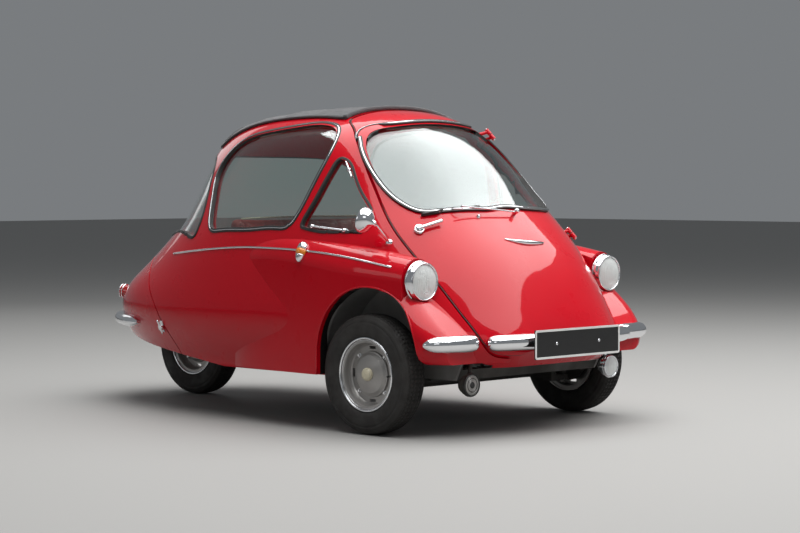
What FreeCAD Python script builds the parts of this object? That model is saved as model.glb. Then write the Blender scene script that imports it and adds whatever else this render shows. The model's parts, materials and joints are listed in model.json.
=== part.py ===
import FreeCAD, Part
import math
import os
import re
import Sketcher
from FreeCAD import Placement, Rotation, Vector

# Three-wheeled bubble car. The nose points to -Y, the car's left side is +X,
# the ground is Z = 0 and the origin lies midway along and across the car.

SIZES = {
    "body_length": 2550,
    "body_width": 1370,
    "roof_height": 1300,
    "sill_height": 215,
    "widest_height": 440,
    "middle_setback": 1180,
    "wall": 30,
    "wheelbase": 1760,
    "front_overhang": 530,
    "track": 1220,
    "tyre_diameter": 475,
    "tyre_width": 112,
    "tyre_shoulder": 22,
    "rim_diameter": 290,
    "rim_seat_diameter": 254,
    "rim_width": 84,
    "rim_lip": 6,
    "rim_dish": 26,
    "hub_radius": 62,
    "hub_crown": 34,
    "cap_radius": 24,
    "cap_length": 14,
    "drum_radius": 100,
    "drum_length": 34,
    "kingpin_inset": 70,
    "kingpin_radius": 14,
    "kingpin_length": 190,
    "kingpin_eye": 24,
    "fit_gap": 0.3,
    "door_gap": 9,
    "lid_gap": 6,
    "fender_gap": 11,
    "door_bottom": 311,
    "nose_floor": 289,
    "door_roof_edge": 960,
    "door_corner": 38,
    "door_depth": 945,
    "glass_depth": 9,
    "glass_thickness": 5,
    "sunroof_thickness": 10,
    "sunroof_half_width": 330,
    "sunroof_length": 790,
    "floor_thickness": 20,
    "nose_step_front": 1046,
    "nose_step_rear": 1012,
    "lid_barrel_radius": 6,
    "lid_barrel_length": 56,
    "lid_barrel_x": 76,
    "lid_pin_height": 674,
    "disc_slot_length": 34,
    "disc_slot_width": 11,
    "horn_x": 431,
    "horn_height": 204,
    "fog_lamp_height": 225,
    "under_bumper_setback": 180,
    "small_lamp_radius": 46,
    "tail_lamp_x": 384,
    "tail_lamp_height": 490,
    "tail_lamp_radius": 30,
    "arch_radius": 268,
    "arch_rise": 313,
    "arch_setback": 20,
    "arch_inner_x": 432,
    "arch_wall": 12,
    "housing_room": 38,
    "housing_reach": 624,
    "lamp_x": 565,
    "lamp_height": 604,
    "lamp_setback": 331,
    "lamp_rim_radius": 78,
    "lamp_glass_radius": 67,
    "lamp_rim_depth": 34,
    "plate_width": 520,
    "plate_height": 114,
    "plate_thickness": 4,
    "plate_centre_height": 358,
    "rear_plate_width": 300,
    "rear_plate_height": 145,
    "rear_plate_lean": 14,
    "rear_plate_foot": 412,
    "bumper_height": 68,
    "bumper_depth": 62,
    "bumper_centre_height": 368,
    "rear_bumper_height": 372,
    "wheel_ring_radius": 190,
    "wheel_ring_bar": 11,
    "steering_x": 240,
    "column_radius": 19,
    "column_lean": 36,
    "column_length": 555,
    "column_rise": 12,
    "boss_depth": 25,
    "seat_half_width": 500,
    "seat_height": 330,
    "cushion_thickness": 120,
    "cushion_depth": 430,
    "backrest_height": 430,
    "backrest_thickness": 95,
    "seat_front": 140,
    "beam_radius": 28,
    "beam_half_length": 435.7,
    "post_x": 436,
    "post_width": 28,
    "eye_height": 22,
    "beam_height": 180,
    "arm_reach": 105,
    "chain_case_inset": 70,
    "chain_case_width": 40,
    "chain_case_height": 60,
    "swing_pivot_reach": 404,
    "swing_pivot_radius": 26,
    "engine_floor": 275,
    "wheel_well_gap": 14,
    "rail_inset": 115,
    "rail_width": 30,
    "rail_length": 370,
    "engine_length": 260,
    "engine_width": 320,
    "engine_height": 300,
}

doc = FreeCAD.newDocument("bubble_car")
sheet = doc.addObject("Spreadsheet::Sheet", "Sizes")
for row, (alias, value) in enumerate(SIZES.items(), start=1):
    sheet.set("A%d" % row, alias)
    sheet.set("B%d" % row, str(value))
    sheet.setAlias("B%d" % row, alias)
doc.recompute()

nodes = []


def size(alias):
    """One driving dimension, read from the sheet."""
    return float(getattr(sheet, alias))


def bound(text):
    """An expression in the sheet's names, written out for setExpression."""
    return re.sub("[a-z_]+", lambda found: "Sizes." + found.group(), text)


def value(text):
    """The number that an expression in the sheet's names has now."""
    return float(sheet.evalExpression(bound(text)))


def bind(thing, **expressions):
    """Ties properties of an object to the sheet; base_x means Placement.Base.x."""
    for name, text in expressions.items():
        path = name.replace("base_", "Placement.Base.")
        thing.setExpression(path, bound(text))
    return thing


def node(thing, label):
    """Names a finished sub-part."""
    thing.Label = label
    nodes.append(thing)
    return thing


def solid_node(label, shape):
    """A sub-part whose shape follows the body surface."""
    thing = doc.addObject("Part::Feature", label)
    thing.Shape = shape
    thing.Placement = Placement()
    return node(thing, label)


def block(name, length, width, height, **place):
    thing = doc.addObject("Part::Box", name)
    return bind(thing, Length=length, Width=width, Height=height, **place)


def rod(name, radius, length, direction=Vector(0, 0, 1), **place):
    thing = doc.addObject("Part::Cylinder", name)
    thing.Placement = Placement(Vector(), Rotation(Vector(0, 0, 1), direction))
    return bind(thing, Radius=radius, Height=length, **place)


def fused(name, parts):
    thing = doc.addObject("Part::MultiFuse", name)
    thing.Shapes = parts
    return thing


def cut(name, base, tool):
    thing = doc.addObject("Part::Cut", name)
    thing.Base = base
    thing.Tool = tool
    return thing


def mirrored(name, source):
    """The same piece on the car's other side."""
    thing = doc.addObject("Part::Mirroring", name)
    thing.Source = source
    thing.Normal = Vector(1, 0, 0)
    return thing


def both_sides(name, source):
    pair = doc.addObject("Part::Compound", name)
    pair.Links = [source, mirrored(name + "_other_side", source)]
    return pair


def turned(name, corners, direction=Vector(1, 0, 0), **place):
    """A body turned about its own X axis; corners are (along, radius) expressions."""
    body = doc.addObject("PartDesign::Body", name)
    sketch = body.newObject("Sketcher::SketchObject", name + "_profile")
    planes = {item.Role: item for item in body.Origin.OriginFeatures}
    sketch.AttachmentSupport = (planes["XY_Plane"], [""])
    sketch.MapMode = "FlatFace"
    spots = [Vector(value(along), value(radius), 0) for along, radius in corners]
    for index, spot in enumerate(spots):
        sketch.addGeometry(Part.LineSegment(spot, spots[(index + 1) % len(spots)]), False)
    for index in range(len(spots)):
        joined = ("Coincident", index, 2, (index + 1) % len(spots), 1)
        sketch.addConstraint(Sketcher.Constraint(*joined))
    for index, (along, radius) in enumerate(corners):
        for kind, text, number in (("DistanceX", along, spots[index].x),
                                   ("DistanceY", radius, spots[index].y)):
            rule = Sketcher.Constraint(kind, -1, 1, index, 1, number)
            place_of_rule = sketch.addConstraint(rule)
            sketch.setExpression("Constraints[%d]" % place_of_rule, bound(text))
    turn = body.newObject("PartDesign::Revolution", name + "_turned")
    turn.Profile = sketch
    turn.ReferenceAxis = (sketch, ["H_Axis"])
    turn.Angle = 360
    body.Placement = Placement(Vector(), Rotation(Vector(1, 0, 0), direction))
    return bind(body, **place)


# Body surface

# Each row is a level slice of the body: its height, the setback of its front
# from the nose, its half width and the setback of its rear from the tail, as
# shares of roof height, length, half width and length, then the roundness
# (2 is an ellipse) of the front and rear halves of the slice.
BODY_SLICES = (
    (0.154, 0.035, 0.883, 0.086, 3.1, 2.4),
    (0.196, 0.025, 0.912, 0.053, 3.1, 2.4),
    (0.277, 0.018, 0.975, 0.014, 3.1, 2.4),
    (0.338, 0.033, 0.996, 0.006, 3.1, 2.4),
    (0.415, 0.057, 0.985, 0.029, 3.1, 2.35),
    (0.473, 0.076, 0.971, 0.073, 3.1, 2.3),
    (0.538, 0.102, 0.952, 0.125, 3.1, 2.3),
    (0.623, 0.143, 0.908, 0.169, 3.1, 2.2),
    (0.723, 0.194, 0.832, 0.200, 3.1, 2.2),
    (0.831, 0.241, 0.752, 0.231, 3.1, 2.2),
    (0.908, 0.278, 0.635, 0.259, 3.0, 2.2),
    (0.962, 0.318, 0.489, 0.322, 2.7, 2.2),
    (0.981, 0.343, 0.380, 0.388, 2.5, 2.1),
)

# Stations along the body: where each leaning section plane meets the floor, as
# a share of the half length, and how far it leans forward in degrees.
STATIONS = (
    (-0.863, 45), (-0.773, 45), (-0.647, 43), (-0.506, 38), (-0.396, 33),
    (-0.302, 27), (-0.224, 20), (-0.153, 13), (-0.067, 5), (0.043, 0),
    (0.161, -6), (0.263, -13), (0.357, -18), (0.459, -22), (0.553, -28),
    (0.655, -36), (0.749, -42), (0.827, -45),
)
RAYS = 20


def steady_curve(spots):
    """A smooth curve through (x, y) spots that never overshoots between them."""
    xs = [spot[0] for spot in spots]
    ys = [spot[1] for spot in spots]
    steps = [b - a for a, b in zip(xs, xs[1:])]
    slopes = [(ys[i + 1] - ys[i]) / steps[i] for i in range(len(steps))]
    tilts = [slopes[0]]
    for i in range(1, len(slopes)):
        before, after = slopes[i - 1], slopes[i]
        if before * after <= 0:
            tilts.append(0.0)
            continue
        first = 2 * steps[i] + steps[i - 1]
        second = steps[i] + 2 * steps[i - 1]
        tilts.append((first + second) / (first / before + second / after))
    tilts.append(slopes[-1])

    def at(x):
        i = 0
        while i < len(steps) - 1 and x > xs[i + 1]:
            i += 1
        t = (x - xs[i]) / steps[i]
        bend = steps[i] * (t ** 3 - 2 * t ** 2 + t) * tilts[i]
        bend += steps[i] * (t ** 3 - t ** 2) * tilts[i + 1]
        flat = (2 * t ** 3 - 3 * t ** 2 + 1) * ys[i] + (3 * t ** 2 - 2 * t ** 3) * ys[i + 1]
        return flat + bend

    return at


HALF_LENGTH = size("body_length") / 2
HALF_WIDTH = size("body_width") / 2
ROOF = size("roof_height")
SILL = size("sill_height")
MIDDLE_Y = size("middle_setback") - HALF_LENGTH


def slice_curve(measure, at_roof):
    rows = [(row[0] * ROOF, measure(row)) for row in BODY_SLICES]
    return steady_curve(rows + [(ROOF, at_roof)])


def front_reach(row):
    return (size("middle_setback") - row[1] * size("body_length")) ** 2


def rear_reach(row):
    return ((1 - row[3]) * size("body_length") - size("middle_setback")) ** 2


width_squared = slice_curve(lambda row: (row[2] * HALF_WIDTH) ** 2, 0.0)
front_squared = slice_curve(front_reach, 0.0)
rear_squared = slice_curve(rear_reach, 0.0)
front_roundness = slice_curve(lambda row: row[4], 2.2)
rear_roundness = slice_curve(lambda row: row[5], 2.0)


def excess(spot, inset):
    """Below zero inside the body surface moved inwards by inset, above it outside."""
    waist = size("widest_height")
    height = spot.z
    if height > waist:
        height = waist + (height - waist) * (ROOF - waist) / (ROOF - inset - waist)
    if height >= ROOF:
        return 1.0
    ahead = spot.y < MIDDLE_Y
    reach_squared = front_squared(height) if ahead else rear_squared(height)
    power = front_roundness(height) if ahead else rear_roundness(height)
    half = math.sqrt(width_squared(height)) - inset
    reach = math.sqrt(reach_squared) - inset
    if half <= 0 or reach <= 0:
        return 1.0
    return (abs(spot.x) / half) ** power + (abs(spot.y - MIDDLE_Y) / reach) ** power - 1


def surface_spot(floor_y, lean, angle, inset):
    """Where a ray in a leaning section plane leaves the body surface."""
    rise = Vector(0, -math.sin(lean), math.cos(lean))
    ray = Vector(math.cos(angle), 0, 0) + rise * math.sin(angle)
    start = Vector(0, floor_y, SILL)
    near, far = 0.0, ROOF * 1.5
    for _ in range(40):
        middle = (near + far) / 2
        if excess(start + ray * middle, inset) < 0:
            near = middle
        else:
            far = middle
    return start + ray * near


def body_solid(inset):
    """The closed body form, moved inwards by inset (outwards if below zero)."""
    grid = []
    for share, lean in STATIONS:
        floor_y = share * (HALF_LENGTH - 1.4 * inset)
        row = []
        for ray in range(RAYS + 1):
            angle = math.pi * ray / RAYS
            row.append(surface_spot(floor_y, math.radians(lean), angle, inset))
        grid.append(row)
    skin = Part.BSplineSurface()
    skin.interpolate(grid)
    shell_face = skin.toShape()
    rims = []
    for corners in ((grid[0][0], grid[0][-1]), (grid[-1][0], grid[-1][-1])):
        rims.append(Part.makeLine(*corners))
    sides = []
    caps = []
    for edge in shell_face.Edges:
        ends = [vertex.Point for vertex in edge.Vertexes]
        across = abs(ends[0].y - ends[1].y) < 1
        if across:
            rim = rims[0] if ends[0].y < 0 else rims[1]
            caps.append(Part.Face(Part.Wire([edge, rim])))
        else:
            sides.append(edge)
    floor = Part.Face(Part.Wire(Part.__sortEdges__(sides + rims)))
    closed = Part.Compound([shell_face, floor] + caps)
    closed.sewShape()
    body = Part.Solid(closed.Shells[0])
    if body.Volume < 0:
        body.reverse()
    return body


def loop(spots, place):
    """A smooth closed outline through a few spots."""
    curve = Part.BSplineCurve()
    curve.interpolate([place(*spot) for spot in spots], PeriodicFlag=True)
    return Part.Face(Part.Wire([curve.toShape()]))


def side_view(y, z):
    return Vector(-1000, y, z)


def through_sides(spots):
    """A window outline seen from the side, pushed right through the car."""
    return loop(spots, side_view).extrude(Vector(2000, 0, 0))


def drawn_in(spots, amount):
    """A closed outline moved inwards all round."""
    area = sum(a[0] * b[1] - b[0] * a[1] for a, b in zip(spots, spots[1:] + spots[:1]))
    grow = -amount if area > 0 else amount
    return offset(spots[-1:] + spots + spots[:1], grow)[1:-1]


def straight_prism(spots, place, push):
    corners = [place(*spot) for spot in spots]
    return Part.Face(Part.makePolygon(corners + corners[:1])).extrude(push)


outer = body_solid(0)
inner = body_solid(size("wall"))
glass_outer = body_solid(size("glass_depth"))
glass_inner = body_solid(size("glass_depth") + size("glass_thickness"))

# Openings in the body

FRONT_AXLE_Y = size("front_overhang") - HALF_LENGTH
REAR_AXLE_Y = FRONT_AXLE_Y + size("wheelbase")
WHEEL_Z = size("tyre_diameter") / 2
ROOF_EDGE_Y = size("door_roof_edge") - HALF_LENGTH

# Half width of the front door at each height, seen from in front.
DOOR_SIDE = (
    (352, 0), (392, 28), (430, 103), (462, 215), (482, 300), (500, 395),
    (501, 500), (470, 632), (436, 772), (380, 875), (296, 952), (180, 1080),
)

# Window outlines seen from the side (y, z), and the windscreen's from in front.
SIDE_WINDOW = (
    (192, 780), (250, 797), (284, 851), (318, 936), (338, 1030), (306, 1102),
    (240, 1158), (90, 1198), (-59, 1216), (-250, 1222), (-326, 1192), (-360, 1125),
    (-352, 1038), (-326, 938), (-300, 852), (-268, 808), (-190, 798), (-43, 790),
)
QUARTER_WINDOW = (
    (-348, 800), (-450, 785), (-590, 784), (-648, 794), (-652, 826), (-584, 922),
    (-508, 1012), (-450, 1072), (-418, 1078), (-400, 1040), (-378, 955),
    (-352, 870),
)
REAR_WINDOW = (
    (352, 768), (346, 840), (372, 960), (404, 1048), (452, 1084), (540, 1102), (700, 1108),
    (950, 1080), (1010, 930), (960, 775), (700, 752), (450, 758),
)
WINDSCREEN = (
    (0, 874), (180, 870), (330, 862), (398, 870), (430, 915), (437, 980),
    (428, 1060), (400, 1130), (345, 1186), (230, 1216), (100, 1228),
)


def reach_to_surface(start, way, furthest):
    """The spot where a straight line from inside the body leaves its surface."""
    near, far = 0.0, furthest
    for _ in range(40):
        middle = (near + far) / 2
        if excess(start + way * middle, 0) < 0:
            near = middle
        else:
            far = middle
    return start + way * near


def offset(line, grow):
    """A line of (a, b) spots moved to its right-hand side by grow."""
    moved = []
    for index, (a, b) in enumerate(line):
        before = line[max(index - 1, 0)]
        after = line[min(index + 1, len(line) - 1)]
        run, rise = after[0] - before[0], after[1] - before[1]
        length = math.hypot(run, rise)
        moved.append((a + grow * rise / length, b - grow * run / length))
    return moved


# The door leaves its frame along this way, so its edges are cut along it too.
DOOR_OUT = Vector(0, -0.761, 0.649)
DOOR_UP = Vector(0, 0.649, 0.761)


def door_seam(roof_y):
    """The left half of the door's seam on the body surface, from sill to roof."""
    seam = []
    foot = size("door_bottom")
    for share in (0, 0.3, 0.6, 0.85):
        seam.append(reach_to_surface(Vector(share * DOOR_SIDE[0][0], MIDDLE_Y, foot),
                                     Vector(0, -1, 0), HALF_LENGTH * 2))
    side = Part.BSplineCurve()
    side.interpolate([Vector(x, rise, 0) for x, rise in DOOR_SIDE])
    corner = None
    for mark in side.discretize(34)[1:]:
        spot = Vector(mark.x, MIDDLE_Y, foot + mark.y)
        if excess(spot, 0) > 0:
            break
        spot = reach_to_surface(spot, Vector(0, -1, 0), HALF_LENGTH * 2)
        if spot.y > roof_y - size("door_corner"):
            break
        corner = spot
        seam.append(spot)
    for share in (0.86, 0.7, 0.5, 0.25, 0):
        seam.append(reach_to_surface(Vector(corner.x * share, roof_y, ROOF / 2),
                                     Vector(0, 0, 1), ROOF))
    return seam


def door_prism(grow, roof_y):
    """The door's outline, widened by grow, pushed outwards the way the door leaves."""
    half = [(spot.x, spot.dot(DOOR_UP)) for spot in door_seam(roof_y)]
    outline = half + [(-x, up) for x, up in reversed(half[1:-1])]
    widened = offset(outline[-1:] + outline + outline[:1], grow)[1:-1]
    inmost = size("door_depth")
    plate = loop(widened, lambda x, up: Vector(x, 0, 0) + DOOR_UP * up + DOOR_OUT * inmost)
    room = Part.makeBox(2000, 2000, 2000, Vector(-1000, -2000, size("door_bottom") - 50 - grow))
    return plate.extrude(DOOR_OUT * (HALF_LENGTH + 300 - inmost)).common(room)


def windscreen_prism(smaller):
    half = list(WINDSCREEN)
    other = [(-x, z) for x, z in reversed(half[1:])]
    outline = drawn_in(half + other, smaller)
    return loop(outline, lambda x, z: Vector(x, -1300, z)).extrude(Vector(0, 1100, 0))


# The tail lid's edge seen from the side (y, z), from the sill to the tail.
LID_EDGE = (
    (452, 150), (470, 290), (490, 335), (518, 372), (604, 474), (663, 529), (730, 604),
    (800, 648), (880, 664),
)


def lid_prism(grow):
    """Everything behind the tail lid's edge, which moves forward by grow."""
    edge = [side_view(y, z) for y, z in offset(LID_EDGE, -grow)]
    curve = Part.BSplineCurve()
    curve.interpolate(edge)
    top = side_view(1400, edge[-1].z)
    foot = side_view(1400, edge[0].z)
    sides = [curve.toShape(), Part.makeLine(edge[-1], top), Part.makeLine(top, foot),
             Part.makeLine(foot, edge[0])]
    return Part.Face(Part.Wire(Part.__sortEdges__(sides))).extrude(Vector(2000, 0, 0))


def arch_prism(inner_x, outer_x, grow):
    """Wheel arch: a round top over straight sides, flared ahead of the wheel."""
    radius = size("arch_radius") + grow
    middle = Vector(0, FRONT_AXLE_Y - size("arch_setback"), size("arch_rise"))
    rear = middle + Vector(0, radius, 0)
    front = middle - Vector(0, radius, 0)
    top = Part.Arc(rear, middle + Vector(0, 0, radius), front).toShape()
    flare = Vector(0, front.y - 70, 100)
    foot = Vector(0, rear.y, 100)
    sides = [Part.makeLine(front, flare), Part.makeLine(flare, foot), Part.makeLine(foot, rear)]
    face = Part.Face(Part.Wire(Part.__sortEdges__([top] + sides)))
    face.translate(Vector(inner_x, 0, 0))
    return face.extrude(Vector(outer_x - inner_x, 0, 0))


def other_side(shape):
    return shape.mirror(Vector(), Vector(1, 0, 0))


# Rows of a front fender: distance behind the body's nose, the middle of its
# rounded top, the height of that top and its radius.
FENDER_ROWS = (
    (340, 563, 693, 89), (480, 570, 716, 100), (630, 575, 738, 108),
    (830, 575, 766, 110), (1080, 563, 784, 108), (1330, 530, 745, 96),
)
# Rows of the fender's low front: distance behind the nose, outer edge, top,
# radius of the outer shoulder and radius of the roll under the side.
FENDER_FRONT_ROWS = (
    (160, 590, 384, 44, 40), (180, 628, 408, 58, 50), (215, 658, 446, 74, 60),
    (270, 676, 500, 92, 64), (330, 683, 552, 106, 64), (410, 684, 600, 112, 64),
)
FENDER_BOTTOM = 224
FENDER_INNER = 418


def fender_crown_section(row):
    setback, middle, top, radius = row
    y = setback - HALF_LENGTH
    shoulder = top - radius
    outer_foot = Vector(middle + radius, y, FENDER_BOTTOM)
    outer_top = Vector(middle + radius, y, shoulder)
    inner_top = Vector(middle - radius, y, shoulder)
    inner_foot = Vector(middle - radius, y, FENDER_BOTTOM)
    arc = Part.Arc(outer_top, Vector(middle, y, top), inner_top).toShape()
    return Part.Wire([Part.makeLine(outer_foot, outer_top), arc,
                      Part.makeLine(inner_top, inner_foot), Part.makeLine(inner_foot, outer_foot)])


def fender_front_section(row):
    """A slice of the low front: rounded shoulder above, side rolled under below."""
    setback, outer_x, top, radius, under = row
    y = setback - HALF_LENGTH
    corner = radius * (1 - math.sqrt(0.5))
    tuck = under * (1 - math.sqrt(0.5))
    foot = Vector(outer_x - under, y, NOSE_FLOOR)
    side = Vector(outer_x, y, NOSE_FLOOR + under)
    low = Vector(outer_x, y, top - radius)
    high = Vector(outer_x - radius, y, top)
    arc = Part.Arc(low, Vector(outer_x - corner, y, top - corner), high).toShape()
    roll = Part.Arc(foot, Vector(outer_x - tuck, y, NOSE_FLOOR + tuck), side).toShape()
    inner_top = Vector(FENDER_INNER, y, top)
    inner_foot = Vector(FENDER_INNER, y, NOSE_FLOOR)
    return Part.Wire([roll, Part.makeLine(side, low), arc, Part.makeLine(high, inner_top),
                      Part.makeLine(inner_top, inner_foot), Part.makeLine(inner_foot, foot)])


def fender_form():
    crown = Part.makeLoft([fender_crown_section(row) for row in FENDER_ROWS], True, False)
    front = Part.makeLoft([fender_front_section(row) for row in FENDER_FRONT_ROWS], True, False)
    return crown.fuse(front)


HALF_GAP = size("door_gap") / 2
door_opening = door_prism(HALF_GAP, ROOF_EDGE_Y)
door_limits = door_prism(-HALF_GAP, ROOF_EDGE_Y)
arch_left = arch_prism(size("arch_inner_x"), 800, 0)
housing_space = arch_prism(size("arch_inner_x"), size("housing_reach"), 0)
housing_space.translate(Vector(0, size("housing_room"), 0))
arches = [arch_left, other_side(arch_left), housing_space, other_side(housing_space)]
tail_underside = straight_prism([(150, 100), (150, SILL), (1300, 335), (1300, 100)],
                                side_view, Vector(2000, 0, 0))
STEP_FRONT_Y = -size("nose_step_front")
STEP_REAR_Y = -size("nose_step_rear")
NOSE_FLOOR = size("nose_floor")
nose_underside = straight_prism([(-1400, 100), (-1400, NOSE_FLOOR), (STEP_FRONT_Y, NOSE_FLOOR),
                                 (STEP_REAR_Y, SILL), (STEP_REAR_Y, 100)],
                                side_view, Vector(2000, 0, 0))
undersides = [tail_underside, nose_underside]
windows = [through_sides(SIDE_WINDOW), through_sides(QUARTER_WINDOW),
           through_sides(REAR_WINDOW)]

# Fixed body

full_shell = outer.cut(inner)
LID_HALF_GAP = size("lid_gap") / 2
lamp_spaces = []
for lamp_side in (1, -1):
    spot = Vector(lamp_side * size("lamp_x"), size("lamp_setback") - HALF_LENGTH,
                  size("lamp_height"))
    lamp_spaces.append(Part.makeCylinder(size("lamp_rim_radius") + size("fit_gap"), 200, spot,
                                         Vector(0, -1, 0)))
wheel_well = Part.makeCylinder(
    WHEEL_Z + size("wheel_well_gap"), size("tyre_width") + 2 * size("wheel_well_gap"),
    Vector(-size("tyre_width") / 2 - size("wheel_well_gap"), REAR_AXLE_Y, WHEEL_Z),
    Vector(1, 0, 0))
lid_pin = reach_to_surface(Vector(size("lid_barrel_x"), 600, size("lid_pin_height")),
                           Vector(0, 1, 0), HALF_LENGTH)
lid_pin = Vector(0, lid_pin.y - 2, lid_pin.z)


def lid_barrels(grow):
    """The lid's two hinge barrels, widened by grow."""
    barrels = []
    length = size("lid_barrel_length") + 2 * grow
    for side in (1, -1):
        start = lid_pin + Vector(side * size("lid_barrel_x") - length / 2, 0, 0)
        barrels.append(Part.makeCylinder(size("lid_barrel_radius") + grow, length, start,
                                         Vector(1, 0, 0)))
    return barrels


LEAF_BACK = 5
LEAF_FRONT = 4
LEAF_DROP = 26
LEAF_NOTCH = 65


def lid_leaves():
    """The lid's two leaves, which hang from the barrels behind the lid's skin."""
    length = size("lid_barrel_length")
    corners = [lid_pin + Vector(side * size("lid_barrel_x") - length / 2, -LEAF_BACK, -LEAF_DROP)
               for side in (1, -1)]
    return [Part.makeBox(length, LEAF_BACK + LEAF_FRONT, LEAF_DROP, corner) for corner in corners]


LEAF_REACH = size("lid_barrel_x") + size("lid_barrel_length") / 2 + size("fit_gap")
# the cabin's edge is raised between and behind the barrels, so that the lid's edge turns clear
leaf_notch = Part.makeBox(2 * LEAF_REACH, LEAF_NOTCH, LEAF_DROP,
                          lid_pin + Vector(-LEAF_REACH, -LEAF_BACK - size("fit_gap"), -LEAF_DROP))

cabin = full_shell.cut([door_opening, lid_prism(LID_HALF_GAP)] + lid_barrels(size("fit_gap"))
                       + [leaf_notch] + undersides
                       + arches + windows + lamp_spaces)
cabin = max(cabin.Solids, key=lambda piece: piece.Volume)
solid_node("cabin_shell", cabin)

fender_left = fender_form().cut([outer, arch_left, housing_space, nose_underside,
                                 door_prism(size("fender_gap"), ROOF_EDGE_Y)] + lamp_spaces)
fender_left = max(fender_left.Solids, key=lambda piece: piece.Volume)
solid_node("fender_left", fender_left)
solid_node("fender_right", other_side(fender_left))

floor_top = SILL + size("floor_thickness")
arch_box = arch_prism(size("arch_inner_x") - size("arch_wall"),
                      size("housing_reach") + size("arch_wall"), size("arch_wall"))
arch_box.translate(Vector(0, size("housing_room"), 0))
arch_rim = arch_prism(size("arch_inner_x") - size("arch_wall"), 800, size("arch_wall"))
arch_box = arch_box.fuse(arch_rim)
arch_boxes = [arch_box, other_side(arch_box)]
TAIL_SLOPE_Y = 150
TAIL_SLOPE = (335 - SILL) / (1300 - TAIL_SLOPE_Y)
BULKHEAD_Y = 345
FLOOR_REAR_Y = BULKHEAD_Y - size("fit_gap")
floor_rear_rise = TAIL_SLOPE * (FLOOR_REAR_Y - TAIL_SLOPE_Y)
pan_top = NOSE_FLOOR + floor_top - SILL
floor_slab = straight_prism([(-1260, NOSE_FLOOR), (STEP_FRONT_Y, NOSE_FLOOR), (STEP_REAR_Y, SILL),
                             (TAIL_SLOPE_Y, SILL), (FLOOR_REAR_Y, SILL + floor_rear_rise),
                             (FLOOR_REAR_Y, floor_top + floor_rear_rise),
                             (TAIL_SLOPE_Y, floor_top),
                             (STEP_REAR_Y + 6, floor_top), (STEP_FRONT_Y + 6, pan_top),
                             (-1260, pan_top)], side_view, Vector(2000, 0, 0))
floor_pan = inner.common(floor_slab).cut(arch_boxes + [door_prism(HALF_GAP, ROOF_EDGE_Y)])
floor_pan = max(floor_pan.Solids, key=lambda piece: piece.Volume)
solid_node("floor_pan", floor_pan)

housing = inner.common(arch_box.cut([arch_left, housing_space, nose_underside]))
housing = housing.common(Part.makeBox(1400, 1400, 600, Vector(0, -1300, SILL)))
solid_node("wheel_housing_left", housing)
solid_node("wheel_housing_right", other_side(housing))

SHELF_HEIGHT = 690
bulkhead = Part.makeBox(1400, 12, SHELF_HEIGHT - floor_top, Vector(-700, BULKHEAD_Y, floor_top))
shelf = Part.makeBox(1400, 900, 12, Vector(-700, BULKHEAD_Y, SHELF_HEIGHT))
rails = []
for rail_x in (size("rail_inset"), -size("rail_inset") - size("rail_width")):
    rails.append(Part.makeBox(size("rail_width"), size("rail_length"),
                              size("engine_floor") - size("fit_gap") - floor_top,
                              Vector(rail_x, BULKHEAD_Y, floor_top)))
solid_node("rear_bulkhead", inner.common(bulkhead.fuse([shelf] + rails)).removeSplitter())

# Glass

panes = glass_outer.cut(glass_inner)
right_half = Part.makeBox(800, 3000, 1400, Vector(-800, -1500, 0))


def side_pane(prism):
    return panes.common(prism).common(right_half)


side_glass = side_pane(through_sides(drawn_in(list(SIDE_WINDOW), size("fit_gap"))))
quarter_glass = side_pane(through_sides(drawn_in(list(QUARTER_WINDOW), size("fit_gap"))))
solid_node("side_glass_right", side_glass)
solid_node("side_glass_left", other_side(side_glass))
solid_node("quarter_glass_right", quarter_glass)
solid_node("quarter_glass_left", other_side(quarter_glass))
solid_node("rear_glass", panes.common(through_sides(drawn_in(list(REAR_WINDOW),
                                                             size("fit_gap")))))

# Sunroof fabric lies on the roof behind the door's roof edge.
raised = outer.copy()
raised.translate(Vector(0, 0, size("sunroof_thickness")))
bedded = outer.copy()
bedded.translate(Vector(0, 0, size("fit_gap")))
roof_patch = Part.makeBox(2 * size("sunroof_half_width"), size("sunroof_length"), 300,
                          Vector(-size("sunroof_half_width"), ROOF_EDGE_Y + 20, 1100))
solid_node("sunroof", raised.cut(bedded).common(roof_patch))

# Front door with its windscreen

door_skin = full_shell.common(door_limits)
solid_node("door_panel", door_skin.cut(windscreen_prism(0)))
solid_node("windscreen_glass", panes.common(windscreen_prism(size("fit_gap"))))

# Tail lid

lid_limits = lid_prism(-LID_HALF_GAP)
lid_panel = full_shell.common(lid_limits).cut([tail_underside, wheel_well])
lid_panel = lid_panel.fuse(lid_barrels(0) + lid_leaves())
solid_node("tail_lid_panel", lid_panel)

# Lamps

lamp_y = "lamp_setback - body_length / 2"
rim_profile = [("0", "lamp_glass_radius"), ("0", "lamp_rim_radius"),
               ("lamp_rim_depth * 0.6", "lamp_rim_radius"),
               ("lamp_rim_depth", "lamp_rim_radius - 7"),
               ("lamp_rim_depth", "lamp_glass_radius")]
lamp_rim = turned("lamp_rim", rim_profile, Vector(0, -1, 0),
                  base_x="lamp_x", base_y=lamp_y, base_z="lamp_height")
node(both_sides("headlamp_rims", lamp_rim), "headlamp_rims")
glass_profile = [("0", "0"), ("0", "lamp_glass_radius - fit_gap"),
                 ("lamp_rim_depth - 4", "lamp_glass_radius - fit_gap"),
                 ("lamp_rim_depth + 6", "lamp_glass_radius * 0.7"),
                 ("lamp_rim_depth + 10", "lamp_glass_radius * 0.35"),
                 ("lamp_rim_depth + 11", "0")]
lamp_glass = turned("lamp_glass", glass_profile, Vector(0, -1, 0),
                    base_x="lamp_x", base_y=lamp_y, base_z="lamp_height")
node(both_sides("headlamp_glasses", lamp_glass), "headlamp_glasses")

# Wheels

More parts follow.
